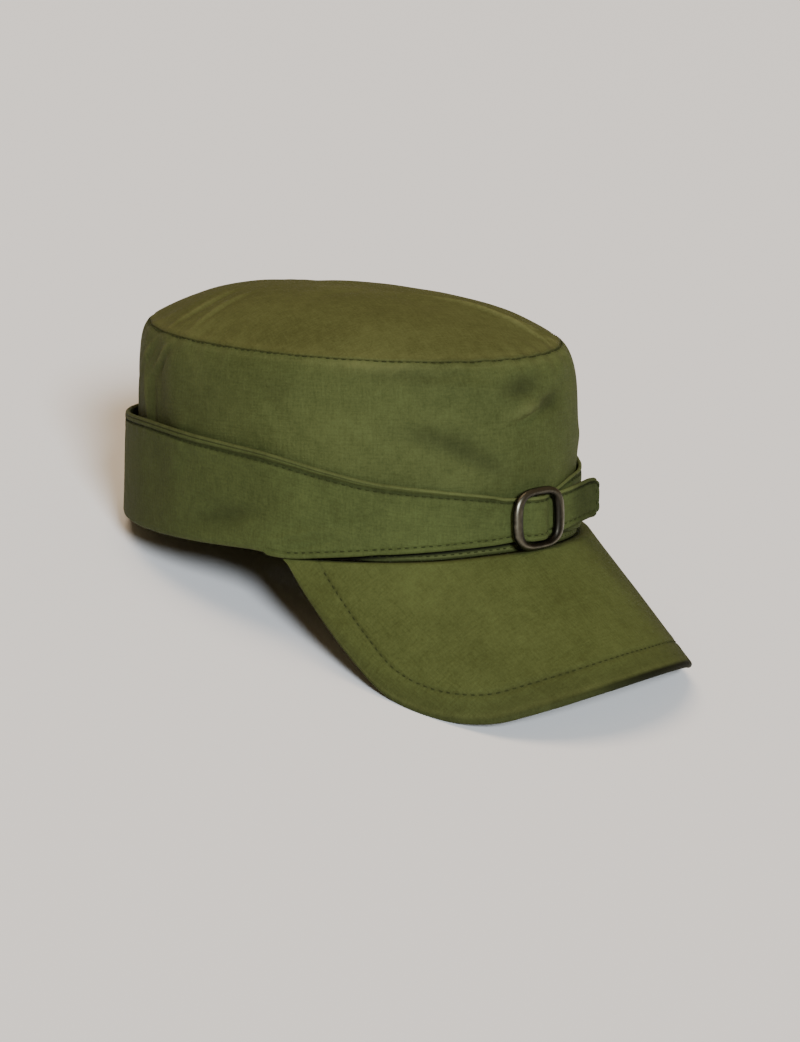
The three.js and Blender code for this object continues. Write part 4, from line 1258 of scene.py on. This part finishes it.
def make_ear_flap():
    """Sections along the band, each going down the face, round its fold and back up behind.

    Every point is the band's base moved outwards by the relief; the free end narrows to a round edge.
    """
    corner = TAB_CORNER * (1 - np.cos(np.linspace(0, np.pi / 2, 15)))
    run = np.concatenate([
        corner,
        np.arange(TAB_CORNER, 62, 0.55)[1:],
        np.arange(62, BAND_LENGTH - 46, 1.3),
        np.arange(BAND_LENGTH - 46, BAND_LENGTH, 0.6),
        [BAND_LENGTH],
    ])[:, None]
    drop = flap_drops(run)
    base, outward = flap_base(run, drop)
    row, _ = band_at(run)
    half_thick = row[..., 4] / 2
    tab = np.clip(run / (STRAP_CLOTH / 2), 0, 1)
    slim = np.sqrt(np.maximum(1 - (1 - tab) ** 2, 0.05))
    middle = base - outward * half_thick[..., None]
    face = middle + outward * ((half_thick + flap_relief(run, drop)) * slim)[..., None]
    back = middle - outward * (half_thick * slim)[..., None]
    loops, behind = cloth_loops(face, back, base)
    edge = drop + half_thick
    place, half, _ = hem_shape(run)
    # painted shade in the upper hem's channel and in the hairline between its two layers
    soiled = 0.42 * bell(edge, place + 0.1 * half, 1.1 * half)
    soiled = soiled + 0.5 * bell(edge, HAIRLINE, 0.22) * ease(station_angle(run), *HEM_PARTS)
    # painted shadow of the tab on the strap behind it, and painted shade on the tab itself
    soiled = soiled + 0.7 * bell(run, BAND_LENGTH - 28, 9) * ease(edge, 10.5, 13)
    soiled = soiled + 0.45 * (1 - ease(run, 12, 23))
    # painted shade over a fold and on the flank turned from the light
    soiled = soiled + wall_sink(np.radians(row[..., 7]), row[..., 2] - drop, FLAP_PAINTED_SHADE)
    values = {"rubbed": 0.5 * bell(edge, 0.7, 0.6), "soiled": soiled}
    values = {key: loop_values(value, behind) for key, value in values.items()}
    uv = loop_values(grid(run, -drop), behind)
    cloth_piece("ear_flap_cloth", loops, uv, values, flap_cotton, "ear_flap")


# Buckle


def wire_loops():
    """The frame: an oval section carried round a rounded square, |x/w|^n + |z/h|^n = 1.

    The section is wider where the frame runs upright, by the square of how level its outward side is.
    """
    steps, sides = 168, 24
    turn = np.arange(steps) / steps * 2 * np.pi
    turn = turn - 0.16 * np.sin(4 * turn)
    power = 2 / BUCKLE_SQUARENESS

    def curve(t):
        """Point of the rounded square: each half side times a power of cos or sin."""
        x = BUCKLE_WIDTH * np.sign(np.cos(t)) * np.abs(np.cos(t)) ** power
        z = BUCKLE_HEIGHT * np.sign(np.sin(t)) * np.abs(np.sin(t)) ** power
        return np.stack([x, z], -1)

    middle = curve(turn)
    going = unit(curve(turn + 0.012) - curve(turn - 0.012))
    aside = np.stack([going[:, 1], -going[:, 0]], -1)
    width = WIRE_END + (WIRE_SIDE - WIRE_END) * aside[:, 0] ** 2
    round_ = np.arange(sides) / sides * 2 * np.pi
    out = width[:, None] / 2 * np.cos(round_)
    x = BUCKLE_X + middle[:, :1] + aside[:, :1] * out
    z = BUCKLE_Z + middle[:, 1:] + aside[:, 1:] * out
    y = BUCKLE_Y + WIRE_DEPTH / 2 * np.sin(round_)
    rubbed = 0.2 + 0.5 * np.clip(-np.sin(round_ - 0.5), 0, 1) ** 2
    points = grid(x, y, z)
    return points, np.broadcast_to(rubbed, points.shape[:2])


def bar_loops():
    """The bar behind the frame: a flattened rod that bends forward into the frame at both ends."""
    steps, sides = 28, 24
    share = np.linspace(-1, 1, steps)[:, None]
    round_ = np.arange(sides) / sides * 2 * np.pi
    x = BUCKLE_X + BAR_WIDTH / 2 * np.cos(round_)
    y = BUCKLE_Y + BAR_BACK * (1 - 0.6 * np.abs(share) ** 10) + BAR_DEPTH / 2 * np.sin(round_)
    points = grid(x, y, BUCKLE_Z + share * BUCKLE_HEIGHT)
    return points, np.full(points.shape[:2], 0.2)


def make_buckle():
    """Joins the frame's ring and the bar's rod into one mesh."""
    wire, wire_rub = wire_loops()
    bar, bar_rub = bar_loops()
    first = wire.shape[0] * wire.shape[1]
    faces = []
    for loops, ring, start in ((wire, True, 0), (bar, False, first)):
        quads = grid_faces(*loops.shape[:2], ring)
        if signed_volume(loops.reshape(-1, 3), quads) < 0:
            quads = quads[:, ::-1]
        faces.append(quads + start)
    points = np.concatenate([wire.reshape(-1, 3), bar.reshape(-1, 3)])
    faces = np.concatenate(faces)
    values = {"rubbed": np.concatenate([wire_rub.ravel(), bar_rub.ravel()])}
    caps = end_caps(*bar.shape[:2], first)
    uv = np.zeros((len(faces) * 4, 2))
    new_piece(
        "buckle_frame_and_bar", points, faces, uv, values, buckle_brass, "buckle", caps
    )


make_crown_side()
make_crown_top()
make_peak()
make_ear_flap()
make_buckle()


# Stitches


def seam_stitches():
    """Row in the ditch between the top panel's edge and the wall's."""
    angle = np.linspace(-np.pi, np.pi, 1600)
    height = seam_height(angle) - SEAM_STITCH_DROP
    outward = wall_outward(angle, height)
    points = wall_base(angle, height) - outward * SEAM_STITCH_SINK
    return stitch_row(points, outward, 31)


def base_stitches():
    """Row on the foot of the crown, just above the peak."""
    angle = np.radians(np.linspace(-66, 66, 700))
    height = wall_bottom(angle) + BASE_STITCH_RISE
    outward = wall_outward(angle, height)
    lift = wall_relief(angle, height)[..., None] - BASE_STITCH_SINK
    return stitch_row(wall_base(angle, height) + outward * lift, outward, 32)


def peak_stitches():
    """Row along the peak's inset outline, as far back as it stays clear of the crown."""
    line = peak_stitch_line(1400)
    base = peak_point(line[:, 0], line[:, 1])
    clear = base[:, 2] < wall_bottom(angle_of(base)) - 3
    u, v = line[clear].T
    outward = peak_outward(u, v)
    relief, _ = peak_face(u, v)
    return stitch_row(base[clear] + outward * relief[:, None], outward, 33)


def flap_row(run, drop, seed):
    """Row on the flap's finished face, which is its base plus outward times relief."""
    base, outward = flap_base(run, drop)
    return stitch_row(base + outward * flap_relief(run, drop)[..., None], outward, seed)


def flap_upper_stitches():
    """Row in the lower side of the upper hem's channel."""
    run = np.linspace(TAB_STITCH_INSET, BAND_LENGTH - 34, 1900)
    row, _ = band_at(run)
    place, half, _ = hem_shape(run)
    return flap_row(run, place + 0.7 * half - row[:, 4] / 2, 34)


def flap_lower_stitches(start, end, seed):
    """Row a set distance above the lower edge."""
    run = np.linspace(start, end, 600)
    row, _ = band_at(run)
    return flap_row(run, sum(face_length(row)) + row[:, 4] / 2 - EDGE_STITCH, seed)


def tab_end_stitches():
    """Short row across the free end of the strap."""
    run = np.full(60, TAB_STITCH_INSET)
    row, _ = band_at(run)
    return flap_row(run, face_length(row)[0] * np.linspace(0.16, 0.84, 60), 37)


on_right = slice(len(RIGHT_STRAP), len(RIGHT_STRAP) + 40)
fold_run = float(np.interp(68, -STATIONS[on_right, 7], STATION_RUN[on_right]))
stitches("crown_stitches", [seam_stitches(), base_stitches()])
stitches("peak_stitches", [peak_stitches()])
stitches(
    "flap_stitches",
    [
        flap_upper_stitches(),
        flap_lower_stitches(TAB_STITCH_INSET, fold_run, 35),
        flap_lower_stitches(BAND_LENGTH - fold_run + 12, BAND_LENGTH - 48, 36),
        tab_end_stitches(),
    ],
)


# Stage, light and camera


def plain_paint(name, colour, roughness):
    """Matt pale paint."""
    material, tree = new_material(name)
    settings = {"in:Base Color": linear(colour), "in:Roughness": roughness}
    shader = add(tree, "ShaderNodeBsdfPrincipled", settings)
    add(tree, "ShaderNodeOutputMaterial", Surface=shader)
    return material


floor_mesh = bpy.data.meshes.new("floor")
reach = 14.0
floor_mesh.from_pydata(
    [(-reach, -reach, 0), (reach, -reach, 0), (reach, reach, 0), (-reach, reach, 0)], [], [(0, 1, 2, 3)]
)
floor_mesh.materials.append(plain_paint("matt_white_paint", "#f2f3f5", 0.9))
floor = new_object("floor", floor_mesh)

world = bpy.data.worlds.new("studio")
world.use_nodes = True
world.node_tree.nodes["Background"].inputs["Color"].default_value = linear("#ffdeb0")
world.node_tree.nodes["Background"].inputs["Strength"].default_value = 0.2
bpy.context.scene.world = world


def stand(thing, axes, place):
    """Sets a thing at a place, turned so that its own x, y and z lie along the three axes."""
    rows = [[*row, at] for row, at in zip(np.transpose(axes).tolist(), place)]
    thing.matrix_world = Matrix([*rows, [0, 0, 0, 1]])


def lamp(name, place, power, softness, colour):
    """Distant lamp that shines from a direction onto the cap; softness is how wide it looks in degrees."""
    light = bpy.data.lights.new(name, "SUN")
    light.energy = power
    light.angle = np.radians(softness)
    light.color = linear(colour)[:3]
    back = unit(np.array(place, float))
    right = unit(np.cross([0, 0, 1], back))
    stand(new_object(name, light), (right, np.cross(back, right), back), place)


lamp("key", (-0.48, -0.80, 0.56), 4.35, 14, "#f0f8ff")
lamp("top", (-0.10, 0.30, 1.0), 1.75, 40, "#ffe4c4")

# The photograph's camera: its axes in the row frame, its place, its focal length and its framing
RIGHT = (0.7172, -0.6782, 0.1603)
UP = (0.1284, 0.3547, 0.9261)
BACK = (-0.6849, -0.6437, 0.3415)
DISTANCE = 1107.81
PHOTO_WIDTH = 800
PHOTO_HEIGHT = 1042
FOCAL_PIXELS = 2598.0
CENTRE = (358.72, 514.89)
SENSOR = 36.0

camera_data = bpy.data.cameras.new("camera")
camera_data.sensor_width = SENSOR
camera_data.lens = FOCAL_PIXELS * SENSOR / PHOTO_HEIGHT
camera_data.shift_x = (PHOTO_WIDTH / 2 - CENTRE[0]) / PHOTO_HEIGHT
camera_data.shift_y = (CENTRE[1] - PHOTO_HEIGHT / 2) / PHOTO_HEIGHT
camera_data.clip_end = 100
camera = new_object("camera", camera_data)
stand(camera, (RIGHT, UP, BACK), (np.array(BACK) * DISTANCE + [0, SEAT_Y, SEAT_Z]) * MM)
bpy.context.scene.camera = camera
